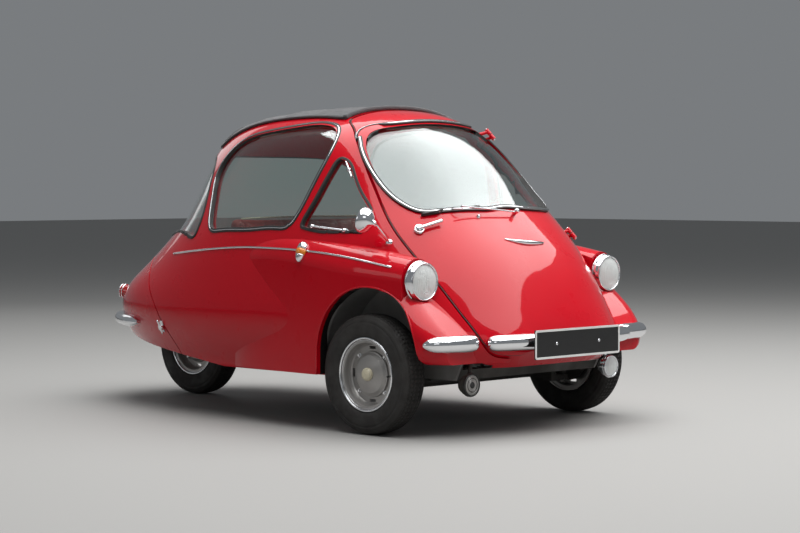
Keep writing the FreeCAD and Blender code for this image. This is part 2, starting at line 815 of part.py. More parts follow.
tyre_profile = [
    ("-rim_width / 2 + 8 + fit_gap", "rim_seat_diameter / 2 + 4 + fit_gap"),
    ("-rim_width / 2 + 3 + fit_gap", "rim_diameter / 2 + fit_gap"),
    ("-rim_width / 2 - rim_lip", "rim_diameter / 2 + 2"),
    ("-tyre_width / 2 + 3", "rim_diameter / 2 + 16"),
    ("-tyre_width / 2", "rim_diameter / 2 + 38"),
    ("-tyre_width / 2 + 5", "tyre_diameter / 2 - tyre_shoulder"),
    ("-tyre_width / 2 + tyre_shoulder * 0.75", "tyre_diameter / 2 - tyre_shoulder * 0.3"),
    ("-tyre_width / 2 + tyre_shoulder * 1.4", "tyre_diameter / 2"),
    ("tyre_width / 2 - tyre_shoulder * 1.4", "tyre_diameter / 2"),
    ("tyre_width / 2 - tyre_shoulder * 0.75", "tyre_diameter / 2 - tyre_shoulder * 0.3"),
    ("tyre_width / 2 - 5", "tyre_diameter / 2 - tyre_shoulder"),
    ("tyre_width / 2", "rim_diameter / 2 + 38"),
    ("tyre_width / 2 - 3", "rim_diameter / 2 + 16"),
    ("rim_width / 2 + rim_lip", "rim_diameter / 2 + 2"),
    ("rim_width / 2 - 3 - fit_gap", "rim_diameter / 2 + fit_gap"),
    ("rim_width / 2 - 8 - fit_gap", "rim_seat_diameter / 2 + 4 + fit_gap"),
]
wheel_profile = [
    ("rim_width / 2", "rim_seat_diameter / 2 - 2"),
    ("rim_width / 2", "rim_diameter / 2 - rim_lip"),
    ("rim_width / 2 + rim_lip", "rim_diameter / 2 - rim_lip"),
    ("rim_width / 2 + rim_lip", "rim_diameter / 2"),
    ("rim_width / 2 - 3", "rim_diameter / 2"),
    ("rim_width / 2 - 8", "rim_seat_diameter / 2 + 4"),
    ("-rim_width / 2 + 8", "rim_seat_diameter / 2 + 4"),
    ("-rim_width / 2 + 3", "rim_diameter / 2"),
    ("-rim_width / 2 - rim_lip", "rim_diameter / 2"),
    ("-rim_width / 2 - rim_lip", "rim_diameter / 2 - rim_lip"),
    ("-rim_width / 2", "rim_diameter / 2 - rim_lip"),
    ("-rim_width / 2", "rim_seat_diameter / 2 - 2"),
    ("0", "rim_seat_diameter / 2 - 2"),
    ("0", "0"),
    ("hub_crown + cap_length", "0"),
    ("hub_crown + cap_length", "cap_radius - 8"),
    ("hub_crown + cap_length - 2", "cap_radius - 2"),
    ("hub_crown + cap_length - 7", "cap_radius"),
    ("hub_crown", "cap_radius"),
    ("hub_crown - 1", "hub_radius * 0.6"),
    ("hub_crown - 4", "hub_radius * 0.85"),
    ("hub_crown - 9", "hub_radius + 12"),
    ("hub_crown - 17", "hub_radius + 22"),
    ("hub_crown - 19", "hub_radius + 27"),
    ("7", "drum_radius - 9"),
    ("7", "drum_radius + 14"),
    ("12", "rim_seat_diameter / 2 - 9"),
    ("22", "rim_seat_diameter / 2 - 5"),
    ("34", "rim_seat_diameter / 2 - 4"),
]


def disc_slots(suffix, place):
    """Four slots through the disc, at its quarters."""
    slots = []
    for name, along, across, way_y, way_z in (
            ("top", "disc_slot_length", "disc_slot_width", 0, 1),
            ("foot", "disc_slot_length", "disc_slot_width", 0, -1),
            ("ahead", "disc_slot_width", "disc_slot_length", -1, 0),
            ("behind", "disc_slot_width", "disc_slot_length", 1, 0)):
        slots.append(block("slot_%s_%s" % (name, suffix), "rim_width", along, across,
                           base_x=place["base_x"] + " - rim_width / 2",
                           base_y=place["base_y"] + " + %d * (drum_radius + 4) - %s / 2"
                           % (way_y, along),
                           base_z=place["base_z"] + " + %d * (drum_radius + 4) - %s / 2"
                           % (way_z, across)))
    return fused("disc_slots_" + suffix, slots)


def wheel(suffix, outward, **place):
    """Rim and tyre of one wheel; the dish faces outward."""
    disc = turned("rim_form_" + suffix, wheel_profile, outward, **place)
    node(cut("rim_" + suffix, disc, disc_slots(suffix, place)), "rim_" + suffix)
    node(turned("tyre_" + suffix, tyre_profile, outward, **place), "tyre_" + suffix)


front_axle_y = "front_overhang - body_length / 2"
rear_axle_y = "front_overhang - body_length / 2 + wheelbase"
wheel("front_left", Vector(1, 0, 0), base_x="track / 2", base_y=front_axle_y,
      base_z="tyre_diameter / 2")
wheel("front_right", Vector(-1, 0, 0), base_x="-track / 2", base_y=front_axle_y,
      base_z="tyre_diameter / 2")
wheel("rear", Vector(-1, 0, 0), base_x="0", base_y=rear_axle_y, base_z="tyre_diameter / 2")

# Knuckles and front axle

kingpin_x = "track / 2 - kingpin_inset"


def knuckle_parts():
    pin = rod("kingpin", "kingpin_radius", "kingpin_length", base_x=kingpin_x,
              base_y=front_axle_y, base_z="tyre_diameter / 2 - kingpin_length / 2")
    barrel = rod("kingpin_barrel", "kingpin_eye", "kingpin_length * 0.5", base_x=kingpin_x,
                 base_y=front_axle_y, base_z="tyre_diameter / 2 - kingpin_length * 0.25")
    stub = rod("stub_axle", "kingpin_radius + 2", "kingpin_inset - fit_gap", Vector(1, 0, 0),
               base_x=kingpin_x, base_y=front_axle_y, base_z="tyre_diameter / 2")
    plate = rod("brake_plate", "drum_radius", "drum_length * 0.3", Vector(1, 0, 0),
                base_x=kingpin_x + " + kingpin_eye + 8", base_y=front_axle_y,
                base_z="tyre_diameter / 2")
    arm = block("steering_arm", "22", "120", "14", base_x=kingpin_x + " - 32",
                base_y=front_axle_y + " - 120",
                base_z="tyre_diameter / 2 - kingpin_length * 0.25")
    return fused("knuckle_left", [pin, barrel, stub, plate, arm])


knuckle_left = node(knuckle_parts(), "knuckle_left")
node(mirrored("knuckle_right", knuckle_left), "knuckle_right")

beam_tube = rod("front_beam_tube", "beam_radius", "2 * beam_half_length", Vector(1, 0, 0),
                base_x="-beam_half_length", base_y=front_axle_y + " + arm_reach",
                base_z="beam_height")
saddles = []
for side, place_x in (("right", "-beam_half_length / 2"), ("left", "beam_half_length / 2 - 50")):
    saddles.append(block("beam_saddle_" + side, "50", "2 * beam_radius + 24",
                         "sill_height - fit_gap - beam_height", base_x=place_x,
                         base_y=front_axle_y + " + arm_reach - beam_radius - 12",
                         base_z="beam_height"))
node(fused("front_axle_beam", [beam_tube] + saddles), "front_axle_beam")


def yoke_parts():
    """Post beside the wheel housing with an eye above and one below the knuckle."""
    eye_z = {"low": "tyre_diameter / 2 - kingpin_length / 2",
             "high": "tyre_diameter / 2 + kingpin_length / 2 - eye_height"}
    parts = []
    for level, height in eye_z.items():
        eye = rod(level + "_eye", "kingpin_eye", "eye_height", base_x=kingpin_x,
                  base_y=front_axle_y, base_z=height)
        reach = block(level + "_reach", kingpin_x + " - post_x", "kingpin_eye * 1.6",
                      "eye_height", base_x="post_x", base_y=front_axle_y + " - kingpin_eye * 0.8",
                      base_z=height)
        parts += [eye, reach]
    post = block("yoke_post", "post_width", "2 * kingpin_eye", "kingpin_length", base_x="post_x",
                 base_y=front_axle_y + " - kingpin_eye",
                 base_z="tyre_diameter / 2 - kingpin_length / 2")
    link = block("yoke_link", "post_width", "arm_reach + beam_radius + kingpin_eye",
                 "2 * beam_radius", base_x="post_x", base_y=front_axle_y + " - kingpin_eye",
                 base_z="beam_height - beam_radius")
    bore = rod("kingpin_bore", "kingpin_radius + fit_gap", "kingpin_length + 20",
               base_x=kingpin_x, base_y=front_axle_y,
               base_z="tyre_diameter / 2 - kingpin_length / 2 - 10")
    return cut("axle_yoke_left", fused("yoke_form", parts + [post, link]), bore)


yoke_left = node(yoke_parts(), "axle_yoke_left")
node(mirrored("axle_yoke_right", yoke_left), "axle_yoke_right")

# Rear swing arm, engine

pivot_y = rear_axle_y + " - swing_pivot_reach"
chain_case = block("chain_case", "chain_case_width", "swing_pivot_reach + chain_case_height",
                   "chain_case_height", base_x="chain_case_inset",
                   base_y=pivot_y + " - chain_case_height / 2",
                   base_z="tyre_diameter / 2 - chain_case_height / 2")
pivot = rod("swing_pivot", "swing_pivot_radius", "2 * chain_case_inset", Vector(1, 0, 0),
            base_x="-chain_case_inset", base_y=pivot_y,
            base_z="engine_floor - fit_gap - swing_pivot_radius")
rear_stub = rod("rear_stub", "kingpin_radius + 2", "chain_case_inset - fit_gap", Vector(1, 0, 0),
                base_x="fit_gap", base_y=rear_axle_y, base_z="tyre_diameter / 2")
node(fused("rear_swing_arm", [chain_case, pivot, rear_stub]), "rear_swing_arm")
node(block("engine_block", "engine_width", "engine_length", "engine_height",
           base_x="-engine_width / 2",
           base_y=rear_axle_y + " - tyre_diameter / 2 - engine_length - 40",
           base_z="engine_floor"), "engine_block")

# Seat

node(block("seat_cushion", "2 * seat_half_width", "cushion_depth", "cushion_thickness",
           base_x="-seat_half_width", base_y="-seat_front", base_z="seat_height"),
     "seat_cushion")
node(block("seat_base", "2 * seat_half_width - 60", "cushion_depth - 172",
           "seat_height - sill_height - floor_thickness - fit_gap",
           base_x="-seat_half_width + 30", base_y="-seat_front + 30",
           base_z="sill_height + floor_thickness"), "seat_base")
backrest = block("seat_backrest", "2 * seat_half_width", "backrest_thickness", "backrest_height",
                 base_x="-seat_half_width",
                 base_y="-seat_front + cushion_depth - backrest_thickness - 12",
                 base_z="seat_height + cushion_thickness + fit_gap")
node(backrest, "seat_backrest")

# Steering

lean = math.radians(size("column_lean"))
column_way = Vector(0, math.sin(lean), math.cos(lean))
column_foot_y = "-body_length / 2 + 370"
node(rod("steering_column", "column_radius", "column_length", column_way, base_x="-steering_x",
         base_y=column_foot_y, base_z="sill_height + floor_thickness + column_rise"),
     "steering_column")
ring = doc.addObject("Part::Torus", "steering_ring")
bind(ring, Radius1="wheel_ring_radius", Radius2="wheel_ring_bar")
boss = doc.addObject("Part::Cylinder", "steering_boss")
boss.Placement = Placement(Vector(0, 0, -size("boss_depth")), Rotation())
bind(boss, Radius="34", Height="32")
bars = []
for name, along in (("spoke_pair", Rotation()), ("spoke_cross", Rotation(Vector(0, 0, 1), 90))):
    bar = doc.addObject("Part::Cylinder", name)
    turn = along.multiply(Rotation(Vector(0, 0, 1), Vector(1, 0, 0)))
    bar.Placement = Placement(turn.multVec(Vector(0, 0, -size("wheel_ring_radius"))), turn)
    bind(bar, Radius="6", Height="2 * wheel_ring_radius")
    bars.append(bar)
steering_wheel = fused("steering_wheel", [ring, boss] + bars)
foot = Vector(-size("steering_x"), value(column_foot_y), floor_top + size("column_rise"))
ring_reach = size("column_length") + size("boss_depth") + size("fit_gap")
steering_wheel.Placement = Placement(foot + column_way * ring_reach,
                                     Rotation(Vector(0, 0, 1), column_way))
node(steering_wheel, "steering_wheel")

# Bumpers: bars of oval section whose ends taper, cut to seat on the body

def bumper_bar(stations, height, straight=False):
    """A bar of oval section; stations are x, y, heading, half height, half depth."""
    sections = []
    for x, y, degrees, tall, deep in stations:
        heading = math.radians(degrees)
        outward = Vector(math.sin(heading), -math.cos(heading), 0)
        centre = Vector(x, y, height)
        oval = [(math.cos(math.pi * step / 6), math.sin(math.pi * step / 6)) for step in range(12)]
        section = loop(oval, lambda across, up: centre + outward * (across * deep)
                       + Vector(0, 0, up * tall))
        sections.append(section.OuterWire)
    return Part.makeLoft(sections, True, straight)


TALL = size("bumper_height") / 2
DEEP = size("bumper_depth") / 2
BUMPER_Z = size("bumper_centre_height")
NOSE_Y = -HALF_LENGTH
DOOR_BUMPER_RUN = (
    (205, NOSE_Y + 43, 14, TALL * 0.98, DEEP), (300, NOSE_Y + 64, 16, TALL, DEEP),
    (384, NOSE_Y + 87, 18, TALL * 0.98, DEEP * 0.97),
)
DOOR_BUMPER_END = (
    (384, NOSE_Y + 87, 18, TALL * 0.98, DEEP * 0.97),
    (396, NOSE_Y + 91, 19, TALL * 0.90, DEEP * 0.88),
    (407, NOSE_Y + 95, 20, TALL * 0.70, DEEP * 0.68),
    (416, NOSE_Y + 99, 20, TALL * 0.34, DEEP * 0.34),
)
FENDER_BUMPER = (
    (434, NOSE_Y + 144, 14, TALL * 0.5, DEEP * 0.5),
    (441, NOSE_Y + 145, 14, TALL * 0.84, DEEP * 0.8),
    (456, NOSE_Y + 146, 15, TALL * 0.96, DEEP * 0.95),
    (540, NOSE_Y + 157, 17, TALL, DEEP), (606, NOSE_Y + 176, 24, TALL * 0.96, DEEP),
    (642, NOSE_Y + 194, 34, TALL * 0.78, DEEP * 0.85),
    (657, NOSE_Y + 206, 40, TALL * 0.52, DEEP * 0.6),
    (665, NOSE_Y + 214, 44, TALL * 0.2, DEEP * 0.25),
)
door_bar = bumper_bar(DOOR_BUMPER_RUN, BUMPER_Z, True).fuse(bumper_bar(DOOR_BUMPER_END, BUMPER_Z))
door_bar = door_bar.cut(outer)
fender_bar = bumper_bar(FENDER_BUMPER, BUMPER_Z).cut([outer, fender_form()])
solid_node("door_bumpers", Part.Compound([door_bar, other_side(door_bar)]))
solid_node("front_bumpers", Part.Compound([fender_bar, other_side(fender_bar)]))


# Rear bumper: share of the tail's length behind the middle, heading, half
# height, half depth, and how far the bar's middle stands off the body.
REAR_BUMPER_ROWS = (
    (735, 104, 0.2, 0.5, 4), (790, 107, 0.75, 0.85, 8), (880, 111, 1, 1, 10),
    (1000, 122, 1, 1, 12), (1110, 136, 1, 1, 14), (1180, 150, 1, 1, 15),
    (1222, 163, 0.95, 1, 15), (1226, 166, 0.5, 0.6, 15),
)
rear_stations = []
for y, heading, tall, deep, proud in REAR_BUMPER_ROWS:
    outward = Vector(math.sin(math.radians(heading)), -math.cos(math.radians(heading)), 0)
    near, far = 0.0, HALF_WIDTH
    for _ in range(40):
        middle = (near + far) / 2
        if excess(Vector(middle, y, size("rear_bumper_height")), 0) < 0:
            near = middle
        else:
            far = middle
    spot = Vector(near, y, 0) + outward * proud
    rear_stations.append((spot.x, spot.y, heading, TALL * tall * 0.75, DEEP * deep * 0.75))
rear_bar = bumper_bar(rear_stations, size("rear_bumper_height"))
rear_bar.translate(Vector(0, HALF_LENGTH - rear_bar.optimalBoundingBox(False).YMax, 0))
rear_bar = rear_bar.cut(outer)
rear_bar = max(rear_bar.Solids, key=lambda piece: piece.Volume)
solid_node("rear_bumpers", Part.Compound([rear_bar, other_side(rear_bar)]))

# Number plates, blank, each on two studs

plate_low = "plate_centre_height - plate_height / 2"
front_plate = block("front_plate_sheet", "plate_width", "plate_thickness", "plate_height",
                    base_x="-plate_width / 2", base_y="-body_length / 2", base_z=plate_low)
studs = []
for side, place_x in (("right", "-plate_width / 4"), ("left", "plate_width / 4")):
    studs.append(rod("front_plate_stud_" + side, "7", "60", Vector(0, 1, 0), base_x=place_x,
                     base_y="-body_length / 2 + plate_thickness", base_z="plate_centre_height"))
plate_form = fused("front_plate_form", [front_plate] + studs)
doc.recompute()
solid_node("front_plate", plate_form.Shape.cut(outer))

rear_plate_lean = math.radians(size("rear_plate_lean"))
plate_out = Vector(0, math.cos(rear_plate_lean), math.sin(rear_plate_lean))
plate_rise = Vector(0, -math.sin(rear_plate_lean), math.cos(rear_plate_lean))
plate_foot = Vector(0, HALF_LENGTH - size("plate_thickness") - 0.5, size("rear_plate_foot"))
rear_sheet = Part.makeBox(size("rear_plate_width"), size("plate_thickness"),
                          size("rear_plate_height"),
                          Vector(-size("rear_plate_width") / 2, 0, 0))
rear_sheet.Placement = Placement(plate_foot, Rotation(Vector(1, 0, 0), size("rear_plate_lean")))
rear_studs = [Part.makeCylinder(7, 90, plate_foot + plate_rise * size("rear_plate_height") * 0.6
                                + Vector(x, 0, 0), plate_out * -1) for x in (-70, 70)]
solid_node("rear_plate", rear_sheet.fuse(rear_studs).cut(outer))

# Small lamps


def lamp_body(spot, outward, radius, depth, crown):
    """A round lamp: a short drum with a crowned lens, turned about outward."""
    drum = Part.makeCylinder(radius, depth, Vector(), Vector(0, 0, 1))
    lens = Part.makeSphere((radius ** 2 + crown ** 2) / (2 * crown))
    lens.translate(Vector(0, 0, depth + crown - (radius ** 2 + crown ** 2) / (2 * crown)))
    lens = lens.common(Part.makeCylinder(radius, crown + 1, Vector(0, 0, depth)))
    lamp = drum.fuse(lens).removeSplitter()
    lamp.Placement = Placement(spot, Rotation(Vector(0, 0, 1), outward))
    return lamp


lamp_seat = reach_to_surface(Vector(size("tail_lamp_x"), 600, size("tail_lamp_height")),
                             Vector(0, 1, 0), HALF_LENGTH)
tail_lamp_way = Vector(0.32, 0.93, 0.14).normalize()
tail_lamp = lamp_body(lamp_seat - tail_lamp_way * 30, tail_lamp_way, size("tail_lamp_radius"),
                      46, 9).cut(outer)
tail_lamp = max(tail_lamp.Solids, key=lambda piece: piece.Volume)
solid_node("tail_lamps", Part.Compound([tail_lamp, other_side(tail_lamp)]))


def under_lamp(spot, depth, crown, lean):
    """A round lamp or horn under the nose: body, crowned face, ring and a strap to the floor."""
    radius = size("small_lamp_radius")
    body = lamp_body(spot + Vector(0, depth, 0), Vector(0, -1, 0), radius - 5, depth, crown)
    ring = Part.makeCylinder(radius, depth * 0.4, spot, Vector(0, 1, 0))
    back = Part.makeSphere(radius * 0.8, spot + Vector(0, depth * 0.9, 0))
    back = back.common(Part.makeCylinder(radius, radius, spot + Vector(0, depth, 0),
                                         Vector(0, 1, 0)))
    foot = spot + Vector(0, depth * 0.7, radius * 0.5)
    strap = Part.makeCylinder(7, 130, foot, Vector(lean, 0.1, 1))
    strap = strap.common(Part.makeBox(2000, 2000, NOSE_FLOOR - size("fit_gap"),
                                      Vector(-1000, -2000, 0)))
    return body.fuse([ring, back, strap]).removeSplitter()


under_lamp_y = NOSE_Y + size("under_bumper_setback")
solid_node("fog_lamp", under_lamp(Vector(size("horn_x"), under_lamp_y, size("fog_lamp_height")),
                                  26, 10, -0.5))
solid_node("horn", under_lamp(Vector(-size("horn_x"), under_lamp_y, size("horn_height")),
                              20, 5, 0.4))

# Side indicators: slim drops on the body's sides
drop = Part.makeSphere(1)
stretch = FreeCAD.Matrix()
stretch.scale(Vector(22, 16, 44))
drop = drop.transformGeometry(stretch)
drop.translate(Vector(662, -386, 694))
all_forms = outer.fuse([fender_form(), other_side(fender_form())])
drop = drop.cut(all_forms)
drop = max(drop.Solids, key=lambda piece: piece.Volume)
solid_node("side_indicators", Part.Compound([drop, other_side(drop)]))

# Mirror on the right side: round head on a bent arm
mirror_base = Vector(-548, -760, 752)
mirror_elbow = Vector(-606, -752, 800)
mirror_head = Vector(-632, -722, 840)
arm_low = Part.makeCylinder(5, (mirror_elbow - mirror_base).Length + 2, mirror_base,
                            mirror_elbow - mirror_base)
arm_high = Part.makeCylinder(5, (mirror_head - mirror_elbow).Length, mirror_elbow,
                             mirror_head - mirror_elbow)
mirror_cup = lamp_body(mirror_head + Vector(0, 4, 0), Vector(0, -1, 0), 46, 6, 15)
foot_disc = Part.makeCylinder(13, 22, mirror_base - Vector(-6, 0, 5), Vector(-1, -0.2, 0.9))
mirror = mirror_cup.fuse([arm_low, arm_high, Part.makeSphere(6, mirror_elbow), foot_disc])
mirror = mirror.cut(all_forms).removeSplitter()
solid_node("side_mirror", max(mirror.Solids, key=lambda piece: piece.Volume))

# Door handle: round base and a lever, on the door's right side
handle_spot = Vector(-436, -822, 799)
handle_out = Vector(-0.5, -0.72, 0.48)
lever_way = Vector(0.93, -0.27, 0.26)
handle_base = Part.makeCylinder(17, 24, handle_spot - handle_out * 8, handle_out)
lever = Part.makeCylinder(7, 100, handle_spot + handle_out * 20, lever_way)
handle = handle_base.fuse([lever, Part.makeSphere(8, handle_spot + handle_out * 20 + lever_way * 100)])
handle = handle.cut(outer).removeSplitter()
solid_node("door_handle", max(handle.Solids, key=lambda piece: piece.Volume))

# Door hinges: two barrels in line outside the skin, on the car's left
HINGE_HIGH = Vector(392, -457, 1194)
HINGE_LOW = Vector(499, -824, 771)
hinge_way = (HINGE_HIGH - HINGE_LOW).normalize()


def hinge_half(spot, start, reach):
    """Half of a hinge: a barrel from start along the axis and its leaf to the skin."""
    barrel = Part.makeCylinder(9, 26, spot + hinge_way * start, hinge_way)
    leaf = Part.makeCylinder(7, reach.Length, spot + hinge_way * (start + 13), reach)
    return barrel.fuse(leaf).cut(outer).removeSplitter()


door_reach = {HINGE_HIGH.z: Vector(-40, 26, -12), HINGE_LOW.z: Vector(-40, 22, -8)}
body_reach = {HINGE_HIGH.z: Vector(6, 54, -14), HINGE_LOW.z: Vector(10, 54, 0)}
body_halves = []
door_halves = []
for spot in (HINGE_HIGH, HINGE_LOW):
    body_halves.append(hinge_half(spot, -28, body_reach[spot.z]))
    door_halves.append(hinge_half(spot, 1.2, door_reach[spot.z]))
solid_node("hinge_body_halves", Part.Compound(body_halves))
solid_node("hinge_door_halves", Part.Compound(door_halves))

# Windscreen wiper: pivot on the door below the glass, arm and blade
wiper_pivot = Vector(80, -866, 858)
skin_out = Vector(0.03, -0.8, 0.6)
pivot_post = Part.makeCylinder(8, 34, wiper_pivot - skin_out * 14, skin_out)
arm_tip = Vector(-245, -862, 884)
wiper_arm = Part.makeCylinder(3.5, (arm_tip - wiper_pivot).Length, wiper_pivot + skin_out * 14,
                              arm_tip - wiper_pivot)
wiper = pivot_post.fuse(wiper_arm).cut(outer).removeSplitter()
solid_node("wiper", max(wiper.Solids, key=lambda piece: piece.Volume))

# Pedals and exhaust
pedals = []
for x in (-330, -255, -180):
    pad = Part.makeBox(46, 10, 56, Vector(x - 23, -1010, 300))
    stem = Part.makeBox(10, 10, 90, Vector(x - 5, -1000, floor_top))
    pedals.append(pad.fuse(stem))
solid_node("pedals", Part.Compound(pedals))
silencer = Part.makeCylinder(45, 250, Vector(165, 795, 262), Vector(0, 1, 0))
tail_pipe = Part.makeCylinder(15, 150, Vector(165, 1040, 250), Vector(0, 1, 0))
engine_rear_y = REAR_AXLE_Y - WHEEL_Z - 40
down_pipe = Part.makeCylinder(14, 70, Vector(145, engine_rear_y + size("fit_gap"), 292),
                              Vector(0, 1, 0))
solid_node("exhaust", silencer.fuse([tail_pipe, down_pipe]))

# Write out

doc.recompute()
for thing in doc.Objects:
    if "Invalid" in thing.State or "Error" in thing.State:
        raise RuntimeError("%s failed: %s" % (thing.Name, thing.State))
os.makedirs("parts", exist_ok=True)
for thing in nodes:
    shape = thing.Shape
    if shape.isNull() or not shape.isValid():
        raise RuntimeError("%s has no valid shape" % thing.Label)
    shape.exportStep("parts/%s.step" % thing.Label)
    print("%-20s %2d solids %9.0f mm3" % (thing.Label, len(shape.Solids), shape.Volume))
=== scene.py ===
import bmesh
import bpy
import json
import math
from mathutils import Matrix, Vector
from mathutils.bvhtree import BVHTree


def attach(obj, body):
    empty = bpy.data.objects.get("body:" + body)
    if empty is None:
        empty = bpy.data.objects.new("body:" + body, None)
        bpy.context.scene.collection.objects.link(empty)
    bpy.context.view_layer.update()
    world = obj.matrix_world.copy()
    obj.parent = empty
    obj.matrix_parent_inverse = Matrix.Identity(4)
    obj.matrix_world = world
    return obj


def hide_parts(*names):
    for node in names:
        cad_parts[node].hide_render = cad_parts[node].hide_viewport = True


# Directions, with the car's own left and right
RIGHT = Vector((-1, 0, 0))
LEFT = Vector((1, 0, 0))
AHEAD = Vector((0, -1, 0))
BEHIND = Vector((0, 1, 0))
UP = Vector((0, 0, 1))
RIGHT_FRONT = Vector((-0.70, -0.71, 0.03))

# Places in metres that several pieces share
BODY_MIDDLE = Vector((0, 0.05, 0.45))
FRONT_AXLE_Y = -0.745
REAR_AXLE_Y = 1.015
WHEEL_HEIGHT = 0.2375
FRONT_WHEEL_X = 0.610
KINGPIN_X = 0.540
ARCH_RADIUS = 0.2688
ARCH_Y = -0.765
ARCH_HEIGHT = 0.313
ARCH_INNER_X = 0.664
HEADLAMP = (0.565, -0.944, 0.604)
FOG_LAMP = (0.431, -1.095, 0.225)
HORN = (-0.431, -1.0995, 0.204)
HANDLE_FOOT = Vector((-0.436, -0.822, 0.799))
DOOR_HINGES = (Vector((0.392, -0.457, 1.194)), Vector((0.499, -0.824, 0.771)))
LID_HINGE_Y = 0.9873
LID_HINGE_HEIGHT = 0.674
STEERING_LEAN = math.radians(36)
STEERING_WAY = Vector((0, math.sin(STEERING_LEAN), math.cos(STEERING_LEAN)))
COLUMN_FOOT = Vector((-0.240, -0.905, 0.247))
COLUMN_LENGTH = 0.5803
STEERING_HUB = COLUMN_FOOT + STEERING_WAY * COLUMN_LENGTH

# The most that a pane and the door's panel measure through, and the gap that closes a seam
PANE_REACH = 0.009
DOOR_REACH = 0.045
SEAM_GAP = 0.000002

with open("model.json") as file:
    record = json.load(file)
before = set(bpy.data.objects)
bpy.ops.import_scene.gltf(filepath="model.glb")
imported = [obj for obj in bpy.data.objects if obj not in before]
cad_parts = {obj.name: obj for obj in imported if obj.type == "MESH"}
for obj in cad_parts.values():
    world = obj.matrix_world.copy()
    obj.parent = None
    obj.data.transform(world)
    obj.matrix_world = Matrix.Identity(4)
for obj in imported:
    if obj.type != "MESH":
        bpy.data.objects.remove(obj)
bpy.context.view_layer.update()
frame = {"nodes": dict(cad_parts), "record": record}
nodes = frame["nodes"]

# Camera, at the photograph's angle


def place_camera():
    """A long lens low beside the car's right front corner."""
    yaw = math.radians(45.78)
    pitch = math.radians(-2.205)
    lens = bpy.data.cameras.new("photo_camera")
    lens.lens = 97.19
    lens.sensor_width = 36
    lens.clip_end = 200
    camera = bpy.data.objects.new("photo_camera", lens)
    bpy.context.scene.collection.objects.link(camera)
    forward = Vector((math.sin(yaw) * math.cos(pitch), math.cos(yaw) * math.cos(pitch),
                      math.sin(pitch)))
    right = Vector((math.cos(yaw), -math.sin(yaw), 0))
    up = right.cross(forward)
    turn = Matrix((right, up, -forward)).transposed().to_4x4()
    camera.matrix_world = Matrix.Translation((-6.584, -6.701, 0.983)) @ turn
    bpy.context.scene.camera = camera


# Floor and studio light


def studio_floor():
    mesh = bpy.data.meshes.new("studio_floor")
    form = bmesh.new()
    bmesh.ops.create_grid(form, x_segments=1, y_segments=1, size=40)
    form.to_mesh(mesh)
    form.free()
    floor = bpy.data.objects.new("studio_floor", mesh)
    bpy.context.scene.collection.objects.link(floor)
    mesh.materials.append(plain_finish("pale_floor", (0.30, 0.295, 0.285), 0.75))


def softbox(name, spot, aim, width, height, power):
    """A rectangular soft light that faces aim."""
    lamp = bpy.data.lights.new(name, "AREA")
    lamp.shape = "RECTANGLE"
    lamp.size = width
    lamp.size_y = height
    lamp.energy = power
    light = bpy.data.objects.new(name, lamp)
    light.location = spot
    light.rotation_euler = (Vector(aim) - Vector(spot)).to_track_quat("-Z", "Y").to_euler()
    bpy.context.scene.collection.objects.link(light)


def studio_light():
    """Pale surroundings with bright panels that the glass and the enamel mirror."""
    bpy.context.scene.view_settings.view_transform = "Standard"
    world = bpy.data.worlds.new("studio")
    world.use_nodes = True
    world.node_tree.nodes["Background"].inputs["Color"].default_value = (0.80, 0.84, 0.88, 1)
    world.node_tree.nodes["Background"].inputs["Strength"].default_value = 0.24
    bpy.context.scene.world = world
    softbox("sky_panel", (1.1, -1.9, 6.0), (0.6, -1.5, 0.5), 9.4, 9.2, 1150)
    softbox("front_panel", (-3.2, -7.0, 3.4), (0, -0.6, 0.7), 3.0, 1.8, 18)
    softbox("side_panel", (-7.0, 2.4, 3.0), (0, 0.2, 0.6), 2.6, 2.0, 22)
    softbox("rear_panel", (3.0, 7.0, 3.4), (0, 0.5, 0.8), 4, 2.5, 26)


# Finishes


def shader_of(material):
    return material.node_tree.nodes["Principled BSDF"]


def plain_finish(name, colour, roughness, metallic=0.0):
    material = bpy.data.materials.new(name)
    material.use_nodes = True
    shader = shader_of(material)
    shader.inputs["Base Color"].default_value = (*colour, 1)
    shader.inputs["Roughness"].default_value = roughness
    shader.inputs["Metallic"].default_value = metallic
    return material


def node_of(material, kind, **settings):
    """A shader node with its plain settings and sockets filled in."""
    made = material.node_tree.nodes.new(kind)
    for key, value in settings.items():
        if key in made.inputs:
            made.inputs[key].default_value = value
        else:
            setattr(made, key, value)
    return made


def noise(material, scale, detail=3.0, stretch=(1, 1, 1)):
    """Even noise on the piece's own coordinates."""
    place = node_of(material, "ShaderNodeTexCoord")
    mapping = node_of(material, "ShaderNodeMapping")
    mapping.inputs["Scale"].default_value = stretch
    texture = node_of(material, "ShaderNodeTexNoise", Scale=scale, Detail=detail)
    link = material.node_tree.links.new
    link(place.outputs["Object"], mapping.inputs["Vector"])
    link(mapping.outputs["Vector"], texture.inputs["Vector"])
    return texture.outputs["Fac"]


def spread(material, source, low, high, start=0.35, end=0.65):
    """The source's middle range stretched between low and high."""
    reach = node_of(material, "ShaderNodeMapRange")
    for name, number in (("From Min", start), ("From Max", end), ("To Min", low), ("To Max", high)):
        reach.inputs[name].default_value = number
    material.node_tree.links.new(source, reach.inputs["Value"])
    return reach.outputs["Result"]


def mottle(material, source, first, second):
    """The base colour runs from first to second with the source."""
    ramp = node_of(material, "ShaderNodeValToRGB")
    ramp.color_ramp.elements[0].color = (*first, 1)
    ramp.color_ramp.elements[1].color = (*second, 1)
    shader = shader_of(material)
    material.node_tree.links.new(source, ramp.inputs["Fac"])
    material.node_tree.links.new(ramp.outputs["Color"], shader.inputs["Base Color"])


def roughen(material, source, low, high):
    shader = shader_of(material)
    material.node_tree.links.new(spread(material, source, low, high), shader.inputs["Roughness"])


